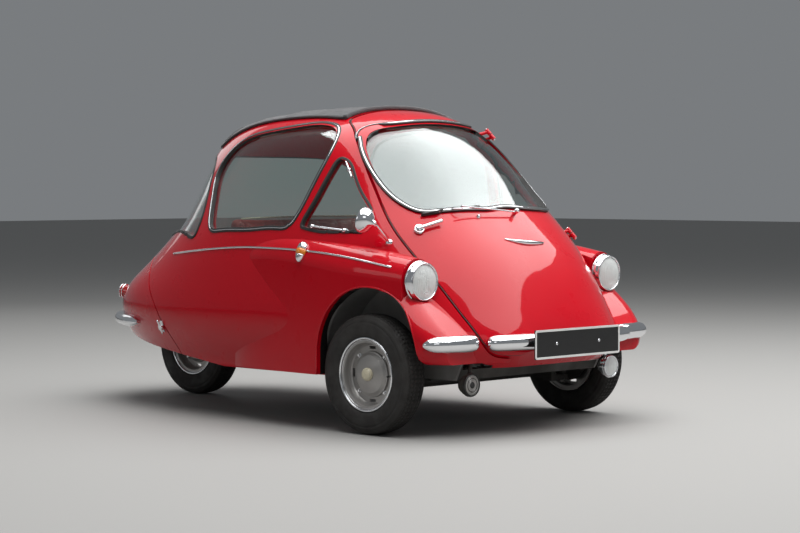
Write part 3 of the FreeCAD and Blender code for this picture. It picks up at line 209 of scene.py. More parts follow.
def emboss(material, source, depth, strength=1.0):
    """The source as fine relief, depth in metres."""
    bump = node_of(material, "ShaderNodeBump", Strength=strength, Distance=depth)
    shader = shader_of(material)
    material.node_tree.links.new(source, bump.inputs["Height"])
    material.node_tree.links.new(bump.outputs["Normal"], shader.inputs["Normal"])


def gloss_enamel(name, colour, deep):
    """Sprayed gloss enamel with a clear top coat, faint orange peel, and near-black painted shade
    on the walls of the front arches.
    """
    material = plain_finish(name, colour, 0.32)
    shader = shader_of(material)
    shader.inputs["Coat Weight"].default_value = 1.0
    shader.inputs["Coat Roughness"].default_value = 0.035
    shader.inputs["Coat IOR"].default_value = 1.33
    shader.inputs["Specular IOR Level"].default_value = 0.05
    mottle(material, noise(material, 1.4, 2), deep, colour)
    enamel = shader.inputs["Base Color"].links[0].from_socket
    # Painted shade: near-black mixed into the enamel on the walls of the front arches.
    blend = node_of(material, "ShaderNodeMix", data_type="RGBA")
    for socket in blend.inputs:
        if socket.name == "B" and socket.type == "RGBA":
            socket.default_value = (0.012, 0.010, 0.010, 1)
    link = material.node_tree.links.new
    link(arch_shade_mask(material), blend.inputs["Factor"])
    link(enamel, next(i for i in blend.inputs if i.name == "A" and i.type == "RGBA"))
    link(next(o for o in blend.outputs if o.type == "RGBA"), shader.inputs["Base Color"])
    roughen(material, noise(material, 9, 4), 0.26, 0.4)
    emboss(material, noise(material, 90, 1), 0.00004, 0.15)
    return material


def arch_shade_mask(material):
    """One where the painted shade goes, on the walls of the front arches; nought elsewhere."""
    link = material.node_tree.links.new

    def sum_of(operation, first, second):
        step = node_of(material, "ShaderNodeMath", operation=operation)
        for socket, value in zip(step.inputs, (first, second)):
            if isinstance(value, (int, float)):
                socket.default_value = value
            else:
                link(value, socket)
        return step.outputs["Value"]

    place = node_of(material, "ShaderNodeTexCoord")
    split = node_of(material, "ShaderNodeSeparateXYZ")
    link(place.outputs["Object"], split.inputs["Vector"])
    along = sum_of("ADD", split.outputs["Y"], -ARCH_Y)
    above = sum_of("MAXIMUM", sum_of("SUBTRACT", split.outputs["Z"], ARCH_HEIGHT), 0.0)
    away = sum_of("ADD", sum_of("MULTIPLY", along, along), sum_of("MULTIPLY", above, above))
    inside = sum_of("LESS_THAN", away, ARCH_RADIUS ** 2)
    inboard = sum_of("LESS_THAN", sum_of("ABSOLUTE", split.outputs["X"], 0.0), ARCH_INNER_X)
    return sum_of("MULTIPLY", inside, inboard)


def polished_chrome():
    material = plain_finish("polished_chrome", (0.83, 0.84, 0.86), 0.05, 1.0)
    roughen(material, noise(material, 30, 4), 0.03, 0.11)
    emboss(material, noise(material, 26, 2), 0.0003, 0.12)
    return material


def see_through(material, tint, least, most, power):
    """Lets light straight through the finish: least of it shows face on, most at a glance."""
    tree = material.node_tree
    finish = shader_of(material)
    clear = node_of(material, "ShaderNodeBsdfTransparent", Color=(*tint, 1))
    angle = node_of(material, "ShaderNodeLayerWeight", Blend=0.5)
    curve = node_of(material, "ShaderNodeMath", operation="POWER")
    curve.inputs[1].default_value = power
    blend = node_of(material, "ShaderNodeMixShader")
    tree.links.new(angle.outputs["Facing"], curve.inputs[0])
    tree.links.new(spread(material, curve.outputs["Value"], least, most, 0.0, 1.0),
                   blend.inputs["Fac"])
    tree.links.new(clear.outputs["BSDF"], blend.inputs[1])
    tree.links.new(finish.outputs["BSDF"], blend.inputs[2])
    tree.links.new(blend.outputs["Shader"], tree.nodes["Material Output"].inputs["Surface"])


def window_glass():
    """A clear toughened pane with a little grime in its sheen."""
    material = plain_finish("window_glass", (0.97, 0.98, 0.99), 0.02, 1.0)
    roughen(material, noise(material, 5, 3), 0.0, 0.03)
    see_through(material, (0.90, 0.95, 0.93), 0.055, 1.0, 4.0)
    return material


def lamp_glass():
    """Thick pressed glass: milky where its flutes are, clear enough to show the bowl."""
    material = plain_finish("lamp_glass", (0.88, 0.90, 0.90), 0.1)
    shader = shader_of(material)
    shader.inputs["Coat Weight"].default_value = 1.0
    shader.inputs["Coat Roughness"].default_value = 0.02
    mottle(material, noise(material, 18, 2), (0.82, 0.84, 0.83), (0.97, 0.98, 0.96))
    roughen(material, noise(material, 40, 2), 0.08, 0.2)
    see_through(material, (0.95, 0.97, 0.97), 0.50, 0.96, 2.0)
    return material


def tyre_rubber():
    material = plain_finish("tyre_rubber", (0.022, 0.021, 0.020), 0.78)
    mottle(material, noise(material, 6, 4), (0.010, 0.009, 0.009), (0.030, 0.027, 0.024))
    roughen(material, noise(material, 20, 4), 0.62, 0.9)
    emboss(material, noise(material, 260, 3), 0.0004, 0.5)
    return material


def black_rubber():
    material = plain_finish("black_rubber", (0.012, 0.012, 0.012), 0.5)
    mottle(material, noise(material, 12, 3), (0.008, 0.008, 0.008), (0.022, 0.021, 0.020))
    roughen(material, noise(material, 25, 3), 0.38, 0.62)
    return material


def wheel_silver():
    material = plain_finish("wheel_silver", (0.40, 0.39, 0.38), 0.34, 0.7)
    mottle(material, noise(material, 7, 5), (0.28, 0.265, 0.25), (0.44, 0.43, 0.42))
    roughen(material, noise(material, 16, 4), 0.28, 0.5)
    emboss(material, noise(material, 190, 2), 0.0002, 0.3)
    return material


def chassis_black():
    """Satin black paint with road dust."""
    material = plain_finish("chassis_black", (0.02, 0.02, 0.02), 0.6)
    mottle(material, noise(material, 5, 6), (0.012, 0.012, 0.012), (0.060, 0.054, 0.046))
    roughen(material, noise(material, 9, 5), 0.5, 0.85)
    emboss(material, noise(material, 120, 4), 0.0006, 0.5)
    return material


def grey_casting():
    material = plain_finish("grey_casting", (0.24, 0.24, 0.24), 0.55, 0.6)
    mottle(material, noise(material, 8, 5), (0.12, 0.115, 0.11), (0.30, 0.30, 0.29))
    roughen(material, noise(material, 14, 4), 0.42, 0.75)
    emboss(material, noise(material, 160, 4), 0.0009, 0.7)
    return material


def cabin_paint():
    """The same red, satin and a little dusty, on panels inside."""
    material = plain_finish("cabin_paint", (0.30, 0.012, 0.012), 0.5)
    mottle(material, noise(material, 4, 4), (0.22, 0.010, 0.010), (0.34, 0.016, 0.014))
    roughen(material, noise(material, 12, 4), 0.4, 0.65)
    return material


def leathercloth(name, pale, deep):
    """Grained vinyl leathercloth."""
    material = plain_finish(name, pale, 0.5)
    place = node_of(material, "ShaderNodeTexCoord")
    grain = node_of(material, "ShaderNodeTexVoronoi", Scale=420.0, feature="DISTANCE_TO_EDGE")
    material.node_tree.links.new(place.outputs["Object"], grain.inputs["Vector"])
    mottle(material, noise(material, 6, 5), deep, pale)
    roughen(material, noise(material, 18, 4), 0.38, 0.6)
    emboss(material, grain.outputs["Distance"], 0.0008, 0.5)
    return material


def roof_cloth():
    """Black double-duck hood cloth: a fine weave, faded in random patches."""
    material = plain_finish("roof_cloth", (0.03, 0.03, 0.033), 0.9)
    shader_of(material).inputs["Sheen Weight"].default_value = 0.35
    place = node_of(material, "ShaderNodeTexCoord")
    heights = []
    for direction in ("X", "Y"):
        threads = node_of(material, "ShaderNodeTexWave", Scale=300.0, bands_direction=direction,
                          Distortion=0.6)
        material.node_tree.links.new(place.outputs["Object"], threads.inputs["Vector"])
        heights.append(threads.outputs["Fac"])
    weave = node_of(material, "ShaderNodeMath", operation="MULTIPLY")
    material.node_tree.links.new(heights[0], weave.inputs[0])
    material.node_tree.links.new(heights[1], weave.inputs[1])
    mottle(material, noise(material, 5, 5), (0.016, 0.016, 0.018), (0.060, 0.060, 0.064))
    roughen(material, noise(material, 20, 3), 0.8, 0.97)
    emboss(material, weave.outputs["Value"], 0.0008, 0.6)
    return material


def ivory_plastic():
    material = plain_finish("ivory_plastic", (0.62, 0.57, 0.42), 0.3)
    mottle(material, noise(material, 9, 3), (0.50, 0.45, 0.31), (0.66, 0.61, 0.47))
    roughen(material, noise(material, 22, 3), 0.22, 0.42)
    return material


def lens_plastic(name, colour, deep):
    """Moulded coloured lens with rings in its relief."""
    material = plain_finish(name, colour, 0.12)
    shader = shader_of(material)
    shader.inputs["Coat Weight"].default_value = 1.0
    mottle(material, noise(material, 40, 2), deep, colour)
    roughen(material, noise(material, 30, 2), 0.08, 0.2)
    emboss(material, noise(material, 90, 1), 0.0006, 0.4)
    return material


def plate_black():
    """Pressed plate in gloss black with fine scratches."""
    material = plain_finish("plate_black", (0.012, 0.012, 0.013), 0.22)
    mottle(material, noise(material, 15, 4), (0.004, 0.004, 0.005), (0.009, 0.009, 0.009))
    roughen(material, noise(material, 60, 4, (1, 1, 8)), 0.30, 0.44)
    return material


def plate_silver():
    """The pale reflective border of a pressed plate."""
    material = plain_finish("plate_silver", (0.70, 0.70, 0.69), 0.4)
    mottle(material, noise(material, 14, 4), (0.58, 0.57, 0.55), (0.78, 0.78, 0.77))
    roughen(material, noise(material, 30, 3), 0.32, 0.5)
    return material


def sheet_grey():
    """The inner wing's dull grey paint, splashed from the road."""
    material = plain_finish("sheet_grey", (0.30, 0.30, 0.29), 0.6)
    mottle(material, noise(material, 6, 5), (0.10, 0.095, 0.09), (0.34, 0.34, 0.33))
    roughen(material, noise(material, 11, 4), 0.5, 0.8)
    emboss(material, noise(material, 150, 3), 0.0004, 0.4)
    return material


def mirror_silver():
    material = plain_finish("mirror_silver", (0.90, 0.91, 0.92), 0.02, 1.0)
    roughen(material, noise(material, 12, 2), 0.01, 0.04)
    return material


RED = (0.50, 0.0006, 0.009)
finishes = {
    "body_paint": gloss_enamel("body_enamel", RED, (0.44, 0.0005, 0.008)),
    "glass": window_glass(),
    "roof_fabric": roof_cloth(),
    "underside": chassis_black(),
    "chrome": polished_chrome(),
    "lamp_glass": lamp_glass(),
    "tyre": tyre_rubber(),
    "rim": wheel_silver(),
    "engine": grey_casting(),
    "seat": leathercloth("seat_leathercloth", (0.30, 0.030, 0.024), (0.22, 0.020, 0.017)),
    "seat_frame": chassis_black(),
    "ivory": ivory_plastic(),
    "plate": plate_black(),
    "red_lens": lens_plastic("red_lens", (0.42, 0.006, 0.006), (0.24, 0.004, 0.004)),
    "amber_lens": lens_plastic("amber_lens", (0.80, 0.26, 0.02), (0.52, 0.14, 0.01)),
    "interior": cabin_paint(),
    "rubber": black_rubber(),
    "piping": leathercloth("cream_piping", (0.62, 0.56, 0.44), (0.52, 0.46, 0.35)),
    "inner_wing": sheet_grey(),
    "mirror": mirror_silver(),
    "plate_border": plate_silver(),
}


OTHER_FINISH = {"wheel_housing_left": "inner_wing", "wheel_housing_right": "inner_wing",
                "horn": "underside"}


def dress_nodes():
    """Each CAD node takes the finish of its material slot."""
    for row in frame["record"]["subparts"]:
        mesh = nodes[row["node"]].data
        mesh.materials.clear()
        mesh.materials.append(finishes[OTHER_FINISH.get(row["node"], row["material_slot"])])


# Ways to make a piece


def piece_from(name, form, material, body, smooth=True):
    """A finished bmesh as a piece of the model that rides on a body."""
    mesh = bpy.data.meshes.new(name)
    form.to_mesh(mesh)
    form.free()
    if smooth:
        mesh.shade_smooth()
    mesh.materials.append(finishes[material])
    piece = bpy.data.objects.new(name, mesh)
    bpy.context.scene.collection.objects.link(piece)
    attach(piece, body)
    return piece


def soften(piece, width, segments=3):
    """Rounds the piece's sharp edges."""
    round_off = piece.modifiers.new("soft_edges", "BEVEL")
    round_off.width = width
    round_off.segments = segments
    round_off.limit_method = "ANGLE"
    round_off.angle_limit = math.radians(35)
    round_off.harden_normals = True
    return piece


def wall_of(piece, thickness, offset=-1.0):
    """Gives a sheet its thickness."""
    wall = piece.modifiers.new("wall", "SOLIDIFY")
    wall.thickness = thickness
    wall.offset = offset
    return piece


def facing(centre, way):
    """The turn and place that take Z to way and the origin to centre."""
    turn = Vector(way).to_track_quat("Z", "Y").to_matrix().to_4x4()
    return Matrix.Translation(centre) @ turn


def spun(profile, steps=64, closed=False):
    """A profile of (radius, height) spots spun about Z."""
    form = bmesh.new()
    spots = [form.verts.new((radius, 0, height)) for radius, height in profile]
    following = spots[1:] + spots[:1] if closed else spots[1:]
    edges = [form.edges.new(pair) for pair in zip(spots, following)]
    bmesh.ops.spin(form, geom=spots + edges, cent=(0, 0, 0), axis=(0, 0, 1), angle=math.tau,
                   steps=steps, use_merge=True)
    bmesh.ops.remove_doubles(form, verts=form.verts, dist=SEAM_GAP)
    bmesh.ops.recalc_face_normals(form, faces=form.faces)
    return form


def put(form, matrix):
    bmesh.ops.transform(form, matrix=matrix, verts=form.verts)
    return form


def joined(forms):
    """Several bmeshes as one."""
    whole = bmesh.new()
    for form in forms:
        passing = bpy.data.meshes.new("passing")
        form.to_mesh(passing)
        form.free()
        whole.from_mesh(passing)
        bpy.data.meshes.remove(passing)
    return whole


def with_twin(form):
    """Adds the mirror image across the car's middle."""
    copy = bmesh.ops.duplicate(form, geom=form.verts[:] + form.edges[:] + form.faces[:])["geom"]
    bmesh.ops.scale(form, vec=(-1, 1, 1),
                    verts=[item for item in copy if isinstance(item, bmesh.types.BMVert)])
    bmesh.ops.reverse_faces(form, faces=[item for item in copy
                                         if isinstance(item, bmesh.types.BMFace)])
    return form


def soft_block(size, matrix, soft, segments=3):
    """A block with rounded edges, its middle at the matrix's origin."""
    form = bmesh.new()
    bmesh.ops.create_cube(form, size=1, matrix=Matrix.Diagonal((*size, 1)))
    bmesh.ops.bevel(form, geom=form.edges[:], offset=soft, segments=segments, affect="EDGES",
                    profile=0.5, material=-1)
    return put(form, matrix)


def rod_through(points, radius, sides=3, straight=False, shares=None):
    """A round bar that runs through points, with closed ends; shares thin it point by point."""
    curve = bpy.data.curves.new("run", "CURVE")
    curve.dimensions = "3D"
    curve.bevel_depth = radius
    curve.bevel_resolution = sides
    curve.use_fill_caps = True
    run = curve.splines.new("POLY" if straight else "NURBS")
    run.points.add(len(points) - 1)
    for place, point in zip(run.points, points):
        place.co = (*point, 1)
    for place, share in zip(run.points, shares or ()):
        place.radius = share
    if not straight:
        run.order_u = 3
        run.use_endpoint_u = True
        run.resolution_u = 5
    holder = bpy.data.objects.new("run", curve)
    mesh = bpy.data.meshes.new_from_object(holder)
    form = bmesh.new()
    form.from_mesh(mesh)
    bmesh.ops.remove_doubles(form, verts=form.verts, dist=SEAM_GAP)
    bmesh.ops.recalc_face_normals(form, faces=form.faces)
    bpy.data.objects.remove(holder)
    bpy.data.curves.remove(curve)
    bpy.data.meshes.remove(mesh)
    return form


def bolt_head(spot, way, radius, height, sides=6):
    """A hexagon head on a washer."""
    washer = spun([(0, 0), (radius * 1.45, 0), (radius * 1.4, height * 0.22),
                   (0, height * 0.22)], 28)
    head = spun([(0, 0), (radius, 0), (radius, height * 0.8), (radius * 0.82, height),
                 (0, height)], sides)
    return put(joined([washer, head]), facing(spot, way))


def skin_of(*names):
    """The nodes' surfaces, to seat pieces on."""
    form = bmesh.new()
    for name in names:
        form.from_mesh(nodes[name].data)
    skin = BVHTree.FromBMesh(form)
    form.free()
    return skin


def seat_on(skin, spot, outward, lift=0.0):
    """The point of a skin under spot, seen along outward, and the skin's normal there."""
    outward = Vector(outward).normalized()
    place, normal, _, _ = skin.ray_cast(Vector(spot) + outward * 0.3, -outward, 0.8)
    if place is None:
        raise RuntimeError("nothing to seat on near %s" % (tuple(spot),))
    if normal.dot(outward) < 0:
        normal = -normal
    return place + normal * lift, normal


def open_rims(form):
    """The verts along each open rim of a form, in order from the rim's first edge."""
    form.edges.index_update()
    rim = {edge.index: edge for edge in form.edges if len(edge.link_faces) == 1}
    loops = []
    while rim:
        first, last = rim.pop(min(rim)).verts
        loop = [first, last]
        while True:
            following = [edge for edge in last.link_edges if edge.index in rim]
            if not following:
                break
            del rim[following[0].index]
            last = following[0].other_vert(last)
            if last == first:
                break
            loop.append(last)
        loops.append(loop)
    return loops


def outer_rims(node, thickness):
    """The rims of a shell's outer skin, longest first, as lists of (spot, outward normal)."""
    form = bmesh.new()
    form.from_mesh(nodes[node].data)
    bmesh.ops.remove_doubles(form, verts=form.verts, dist=0.00002)
    form.normal_update()
    shell = BVHTree.FromBMesh(form)

    def is_outer(face):
        middle = face.calc_center_median()
        if face.normal.dot(middle - BODY_MIDDLE) < 0:
            return False
        _, back, _, _ = shell.ray_cast(middle - face.normal * 0.0002, -face.normal, thickness)
        return back is not None and abs(back.dot(face.normal)) > 0.9

    skin = {face for face in form.faces if is_outer(face)}
    bmesh.ops.delete(form, geom=[face for face in form.faces if face not in skin],
                     context="FACES")
    form.normal_update()
    loops = [[(vert.co.copy(), vert.normal.copy()) for vert in loop] for loop in open_rims(form)]
    form.free()
    return sorted(loops, key=span, reverse=True)


def span(loop):
    return sum((a[0] - b[0]).length for a, b in zip(loop, loop[1:]))


def even_loop(loop, step):
    """The loop thinned so that its spots lie at least step apart, its normals evened out."""
    kept = [loop[0]]
    for spot in loop[1:]:
        if (spot[0] - kept[-1][0]).length >= step:
            kept.append(spot)
    if (kept[-1][0] - kept[0][0]).length < step:
        kept.pop()
    evened = []
    for place, (spot, _) in enumerate(kept):
        around = sum((kept[(place + near) % len(kept)][1] for near in (-2, -1, 0, 1, 2)),
                     Vector())
        evened.append((spot, around.normalized()))
    return evened


def edge_band(name, loop, low, high, width, material, body, round_off, outside=0.0):
    """A band set on edge along a loop: its height over the skin runs from low to high.

    It lies on both sides of the loop, or with outside=1 on the loop's outer side only."""
    form = bmesh.new()
    spots = even_loop(loop, 0.006)
    middle = sum((spot for spot, _ in spots), Vector()) / len(spots)
    verts = [form.verts.new(spot + normal * low) for spot, normal in spots]
    edges = [form.edges.new((a, b)) for a, b in zip(verts, verts[1:] + verts[:1])]
    raised = bmesh.ops.extrude_edge_only(form, edges=edges)["geom"]
    risen = {tuple(round(c, 6) for c in spot + normal * low): normal for spot, normal in spots}
    for item in raised:
        if isinstance(item, bmesh.types.BMVert):
            item.co += risen[tuple(round(c, 6) for c in item.co)] * (high - low)
    bmesh.ops.recalc_face_normals(form, faces=form.faces)
    outward = sum(face.normal.dot(face.calc_center_median() - middle) for face in form.faces)
    if outward < 0:
        bmesh.ops.reverse_faces(form, faces=form.faces[:])
    piece = piece_from(name, form, material, body)
    wall_of(piece, width, outside)
    return soften(piece, round_off)


# Window rubbers, door seal, side trim


def window_rubbers():
    """Black rubber round each pane, with a bright insert where the car has one."""
    panes = (
        ("windscreen_glass", "front_door", True, 0.0190, 0.019),
        ("side_glass_left", "car_body", True, 0.0135, 0.019),
        ("side_glass_right", "car_body", True, 0.0135, 0.019),
        ("quarter_glass_left", "car_body", False, 0.0135, 0.012),
        ("quarter_glass_right", "car_body", False, 0.0135, 0.012),
        ("rear_glass", "car_body", False, 0.0135, 0.013),
    )
    for node, body, bright, top, width in panes:
        loop = outer_rims(node, PANE_REACH)[0]
        edge_band(node + "_rubber", loop, -0.004, top, width, "rubber", body, 0.004)
        if bright:
            edge_band(node + "_bright_insert", loop, top - 0.0025, top + 0.0012, 0.0042,
                      "chrome", body, 0.0014)


def door_seal():
    """Black sponge rubber in the seam round the front door."""
    loop = outer_rims("door_panel", DOOR_REACH)[0]
    edge_band("door_seal", loop, -0.020, -0.0025, 0.0055, "rubber", "front_door",
              0.0015, 1.0)


STRIP_RUN = ((-0.573, 0.513, 0.679), (-0.624, 0.280, 0.702), (-0.646, 0.001, 0.721),
             (-0.648, -0.185, 0.720), (-0.644, -0.360, 0.715), (-0.632, -0.520, 0.703),
             (-0.606, -0.664, 0.682), (-0.565, -0.794, 0.656))


def side_strips():
    """The bright half-round strip along each side, seated on the skin all the way."""
    skin = skin_of("cabin_shell", "fender_right", "tail_lid_panel")
    guide = rod_through(STRIP_RUN, 0.0, 0)
    way = sorted((vert.co.copy() for vert in guide.verts), key=lambda spot: spot.y)
    guide.free()
    spots = []
    for spot in way:
        seat, _ = seat_on(skin, spot, RIGHT_FRONT, 0.0012)
        if not spots or (seat - spots[-1]).length > 0.012:
            spots.append(seat)
    strip = rod_through(spots, 0.0042)
    piece_from("side_strips", with_twin(strip), "chrome", "car_body")


def arch_lips():
    """The rolled lip of each front arch, in the body's enamel."""
    skin = skin_of("cabin_shell", "fender_right")
    spots = []
    seated_on = ARCH_RADIUS + 0.0027
    lip = ARCH_RADIUS - 0.0003
    for step in range(0, 37):
        turn = math.radians(step * 5)
        along, above = math.cos(turn), math.sin(turn)
        seat, _ = seat_on(skin, (-0.6, ARCH_Y + seated_on * along, ARCH_HEIGHT + seated_on * above),
                          RIGHT)
        spots.append(Vector((seat.x + 0.0015, ARCH_Y + lip * along, ARCH_HEIGHT + lip * above)))
    foot, _ = seat_on(skin, (-0.6, -0.493, 0.232), RIGHT)
    spots.insert(0, Vector((foot.x + 0.0015, -0.4965, 0.230)))
    piece_from("arch_lips", with_twin(rod_through(spots, 0.0042)), "body_paint", "car_body")


# Wheels


TREAD_HALF = [
    (0.1470, 0.0440), (0.1500, 0.0480), (0.1570, 0.0525), (0.1680, 0.0550), (0.1830, 0.0560),
    (0.1960, 0.0560), (0.2040, 0.0553), (0.2052, 0.0540), (0.2066, 0.0548), (0.2130, 0.0540),
    (0.2190, 0.0525), (0.2195, 0.0515), (0.2250, 0.0500), (0.2305, 0.0452), (0.2330, 0.0408),
    (0.2338, 0.0380), (0.2290, 0.0368), (0.2290, 0.0330), (0.2348, 0.0318), (0.2362, 0.0215),
    (0.2310, 0.0207), (0.2310, 0.0172), (0.2366, 0.0164), (0.2374, 0.0058), (0.2320, 0.0050),
    (0.2320, 0.0020), (0.2374, 0.0012),
]


TREAD_STEPS = 168
TREAD_FLOOR = 0.2318
SHOULDER = 0.0375


def tyre_form():
    """A crossply tyre: ribs and grooves round it, and cuts across its ribs."""
    profile = TREAD_HALF + [(radius, -across) for radius, across in reversed(TREAD_HALF)]
    form = spun(profile, TREAD_STEPS, closed=True)
    cuts = []
    for face in form.faces:
        middle = face.calc_center_median()
        radius = math.hypot(middle.x, middle.y)
        step = round(math.atan2(middle.y, middle.x) / math.tau * TREAD_STEPS - 0.5)
        rib = 0 if abs(middle.z) > SHOULDER else 1
        if TREAD_FLOOR < radius and abs(face.normal.z) < 0.85 and face.calc_area() > 0.00002:
            if (step + rib) % 2 == 0:
                cuts.append(face)
    bmesh.ops.inset_individual(form, faces=cuts, thickness=0.0012, depth=-0.0028,
                               use_even_offset=True)
    return form


def cap_form():
    return spun([(0.0255, 0.026), (0.0262, 0.030), (0.0258, 0.040), (0.0236, 0.0452),
                 (0.0170, 0.0482), (0.0080, 0.0490), (0, 0.0491)], 48)


WHEELS = (
    ("front_left", Vector((FRONT_WHEEL_X, FRONT_AXLE_Y, WHEEL_HEIGHT)), LEFT, "left_wheel"),
    ("front_right", Vector((-FRONT_WHEEL_X, FRONT_AXLE_Y, WHEEL_HEIGHT)), RIGHT, "right_wheel"),
    ("rear", Vector((0, REAR_AXLE_Y, WHEEL_HEIGHT)), RIGHT, "rear_wheel"),
)


def rolled_edge(radius, height, wide, deep, sides):
    """An oval bead round the wheel's axis."""
    return spun([(radius + wide * math.cos(turn), height + deep * math.sin(turn))
                 for turn in (math.tau * step / sides for step in range(sides))], 96, closed=True)


NUT_CIRCLE = 0.0985


def wheel_trim():
    """Tyres with tread, cream hub caps, wheel nuts, rolled rim edges and valves."""
    for suffix, centre, outward, body in WHEELS:
        place = facing(centre, outward)
        tyre = piece_from("tyre_tread_" + suffix, put(tyre_form(), place), "tyre", body)
        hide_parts("tyre_" + suffix)
        piece_from("hub_cap_" + suffix, put(cap_form(), place), "ivory", body)
        nuts = []
        for quarter in range(4):
            turn = math.radians(45 + 90 * quarter)
            spot = (NUT_CIRCLE * math.cos(turn), NUT_CIRCLE * math.sin(turn), 0.0072)
            nuts.append(bolt_head(spot, UP, 0.0062, 0.0095))
        piece_from("wheel_nuts_" + suffix, put(joined(nuts), place), "chrome", body,
                   smooth=False)
        edge = rolled_edge(0.1426, 0.0466, 0.0046, 0.0034, 12)
        inner = rolled_edge(0.1345, 0.0422, 0.0012, 0.0014, 8)
        piece_from("rim_edges_" + suffix, put(joined([edge, inner]), place), "chrome", body)
        valve = rod_through([(0.121, 0, 0.018), (0.124, 0, 0.030), (0.126, 0, 0.047)], 0.0034)
        cap = put(spun([(0, 0), (0.0042, 0), (0.0042, 0.010), (0.003, 0.0118), (0, 0.0118)], 20),
                  facing((0.1258, 0, 0.0435), (0.05, 0, 1)))
        piece_from("valve_" + suffix, put(joined([valve, cap]), place), "rubber", body)


# Lamps, horn and mirror


def fluted(form, radius, pitch, depth):
    """Upright flutes pressed into a spun lens, dying out at its edge."""
    for vert in form.verts:
        fade = max(0.0, 1 - (math.hypot(vert.co.x, vert.co.y) / radius) ** 8)
        vert.co.z += depth * fade * math.cos(vert.co.x / pitch * math.tau)
    form.normal_update()
    return form


def dome(radius, foot, crown, rings=26, steps=120):
    """An open dome: its rim at foot, its top at crown."""
    spots = []
    for ring in range(rings + 1):
        share = 1 - ring / rings
        spots.append((radius * share, crown - (crown - foot) * share ** 2.3))
    return spun(spots, steps)


def bead_ring(radius, height, thick, steps=96, sides=12):
    return spun([(radius + thick * math.cos(math.tau * side / sides),
                  height + thick * math.sin(math.tau * side / sides))
                 for side in range(sides)], steps, closed=True)


def headlamps():
    """Bowl, bulb and fluted lens in each chrome shell, with a bright ring round the lens."""
    place = facing(HEADLAMP, AHEAD)
    bowl = spun([(0.066, 0.030), (0.060, 0.022), (0.048, 0.0135), (0.034, 0.0075),
                 (0.020, 0.0038), (0.010, 0.0026)], 72)
    bulb = spun([(0.0095, 0.002), (0.0095, 0.008), (0.0085, 0.016), (0.0055, 0.0215),
                 (0, 0.0235)], 32)
    for form in (bowl, bulb):
        put(form, place)
        with_twin(form)
    reflectors = piece_from("headlamp_bowls", bowl, "mirror", "car_body")
    wall_of(reflectors, 0.001, 0.0)
    piece_from("headlamp_bulbs", bulb, "piping", "car_body")
    lens = fluted(dome(0.0672, 0.0315, 0.0446), 0.0672, 0.0092, 0.0011)
    lens = piece_from("headlamp_lenses", with_twin(put(lens, place)), "lamp_glass", "car_body")
    wall_of(lens, 0.002)
    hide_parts("headlamp_glasses")
    ring = with_twin(put(joined([bead_ring(0.0705, 0.0335, 0.0036), bead_ring(0.0790, 0.0062,
                                                                             0.0024)]), place))
    piece_from("headlamp_rings", ring, "chrome", "car_body")
    screw = with_twin(put(spun([(0, 0), (0.0042, 0), (0.0036, 0.0022), (0, 0.0028)], 20),
                          facing((0.565, -0.962, 0.5262), (0, -0.3, -1))))
    piece_from("headlamp_screws", screw, "chrome", "car_body")


def fog_lamp_face():
    place = facing(FOG_LAMP, AHEAD)
    lens = fluted(dome(0.0405, 0.0008, 0.0128, 18, 96), 0.0405, 0.0075, 0.0006)
    lens = piece_from("fog_lamp_lens", put(lens, place), "lamp_glass", "car_body")
    wall_of(lens, 0.002)
    ring = put(joined([bead_ring(0.0428, 0.0012, 0.0030), bead_ring(0.0458, -0.0072, 0.0016)]),
               place)
    piece_from("fog_lamp_rings", ring, "chrome", "car_body")


def horn_face():
    """The horn's grille: a silvered disc with rings round a black boss, in a black housing."""
    place = facing(HORN, AHEAD)
    grille = [(0.0125, 0.0030)]
    for ring in range(4):
        near = 0.0145 + ring * 0.0058
        grille += [(near, 0.0042 - ring * 0.0004), (near + 0.0026, 0.0044 - ring * 0.0004),
                   (near + 0.0036, 0.0022 - ring * 0.0003), (near + 0.0050, 0.0022 - ring * 0.0003)]
    grille += [(0.0385, 0.0030), (0.0385, -0.0040)]
    piece_from("horn_grille", put(spun(grille, 72), place), "rim", "car_body")
    boss = spun([(0.0128, 0.0020), (0.0126, 0.0050), (0.0105, 0.0066), (0.0055, 0.0070),
                 (0.0048, 0.0058), (0, 0.0058)], 40)
    piece_from("horn_boss", put(boss, place), "rubber", "car_body")
    rim = spun([(0.0385, -0.002), (0.0388, 0.0046), (0.0405, 0.0062), (0.0432, 0.0052),
                (0.0455, 0.0005), (0.0462, -0.006)], 80)
    rim = piece_from("horn_rim", put(rim, place), "rubber", "car_body")
    wall_of(rim, 0.0012)
    ring = put(bead_ring(0.0268, 0.0042, 0.0013, 72, 8), place)
    piece_from("horn_ring", ring, "rubber", "car_body")


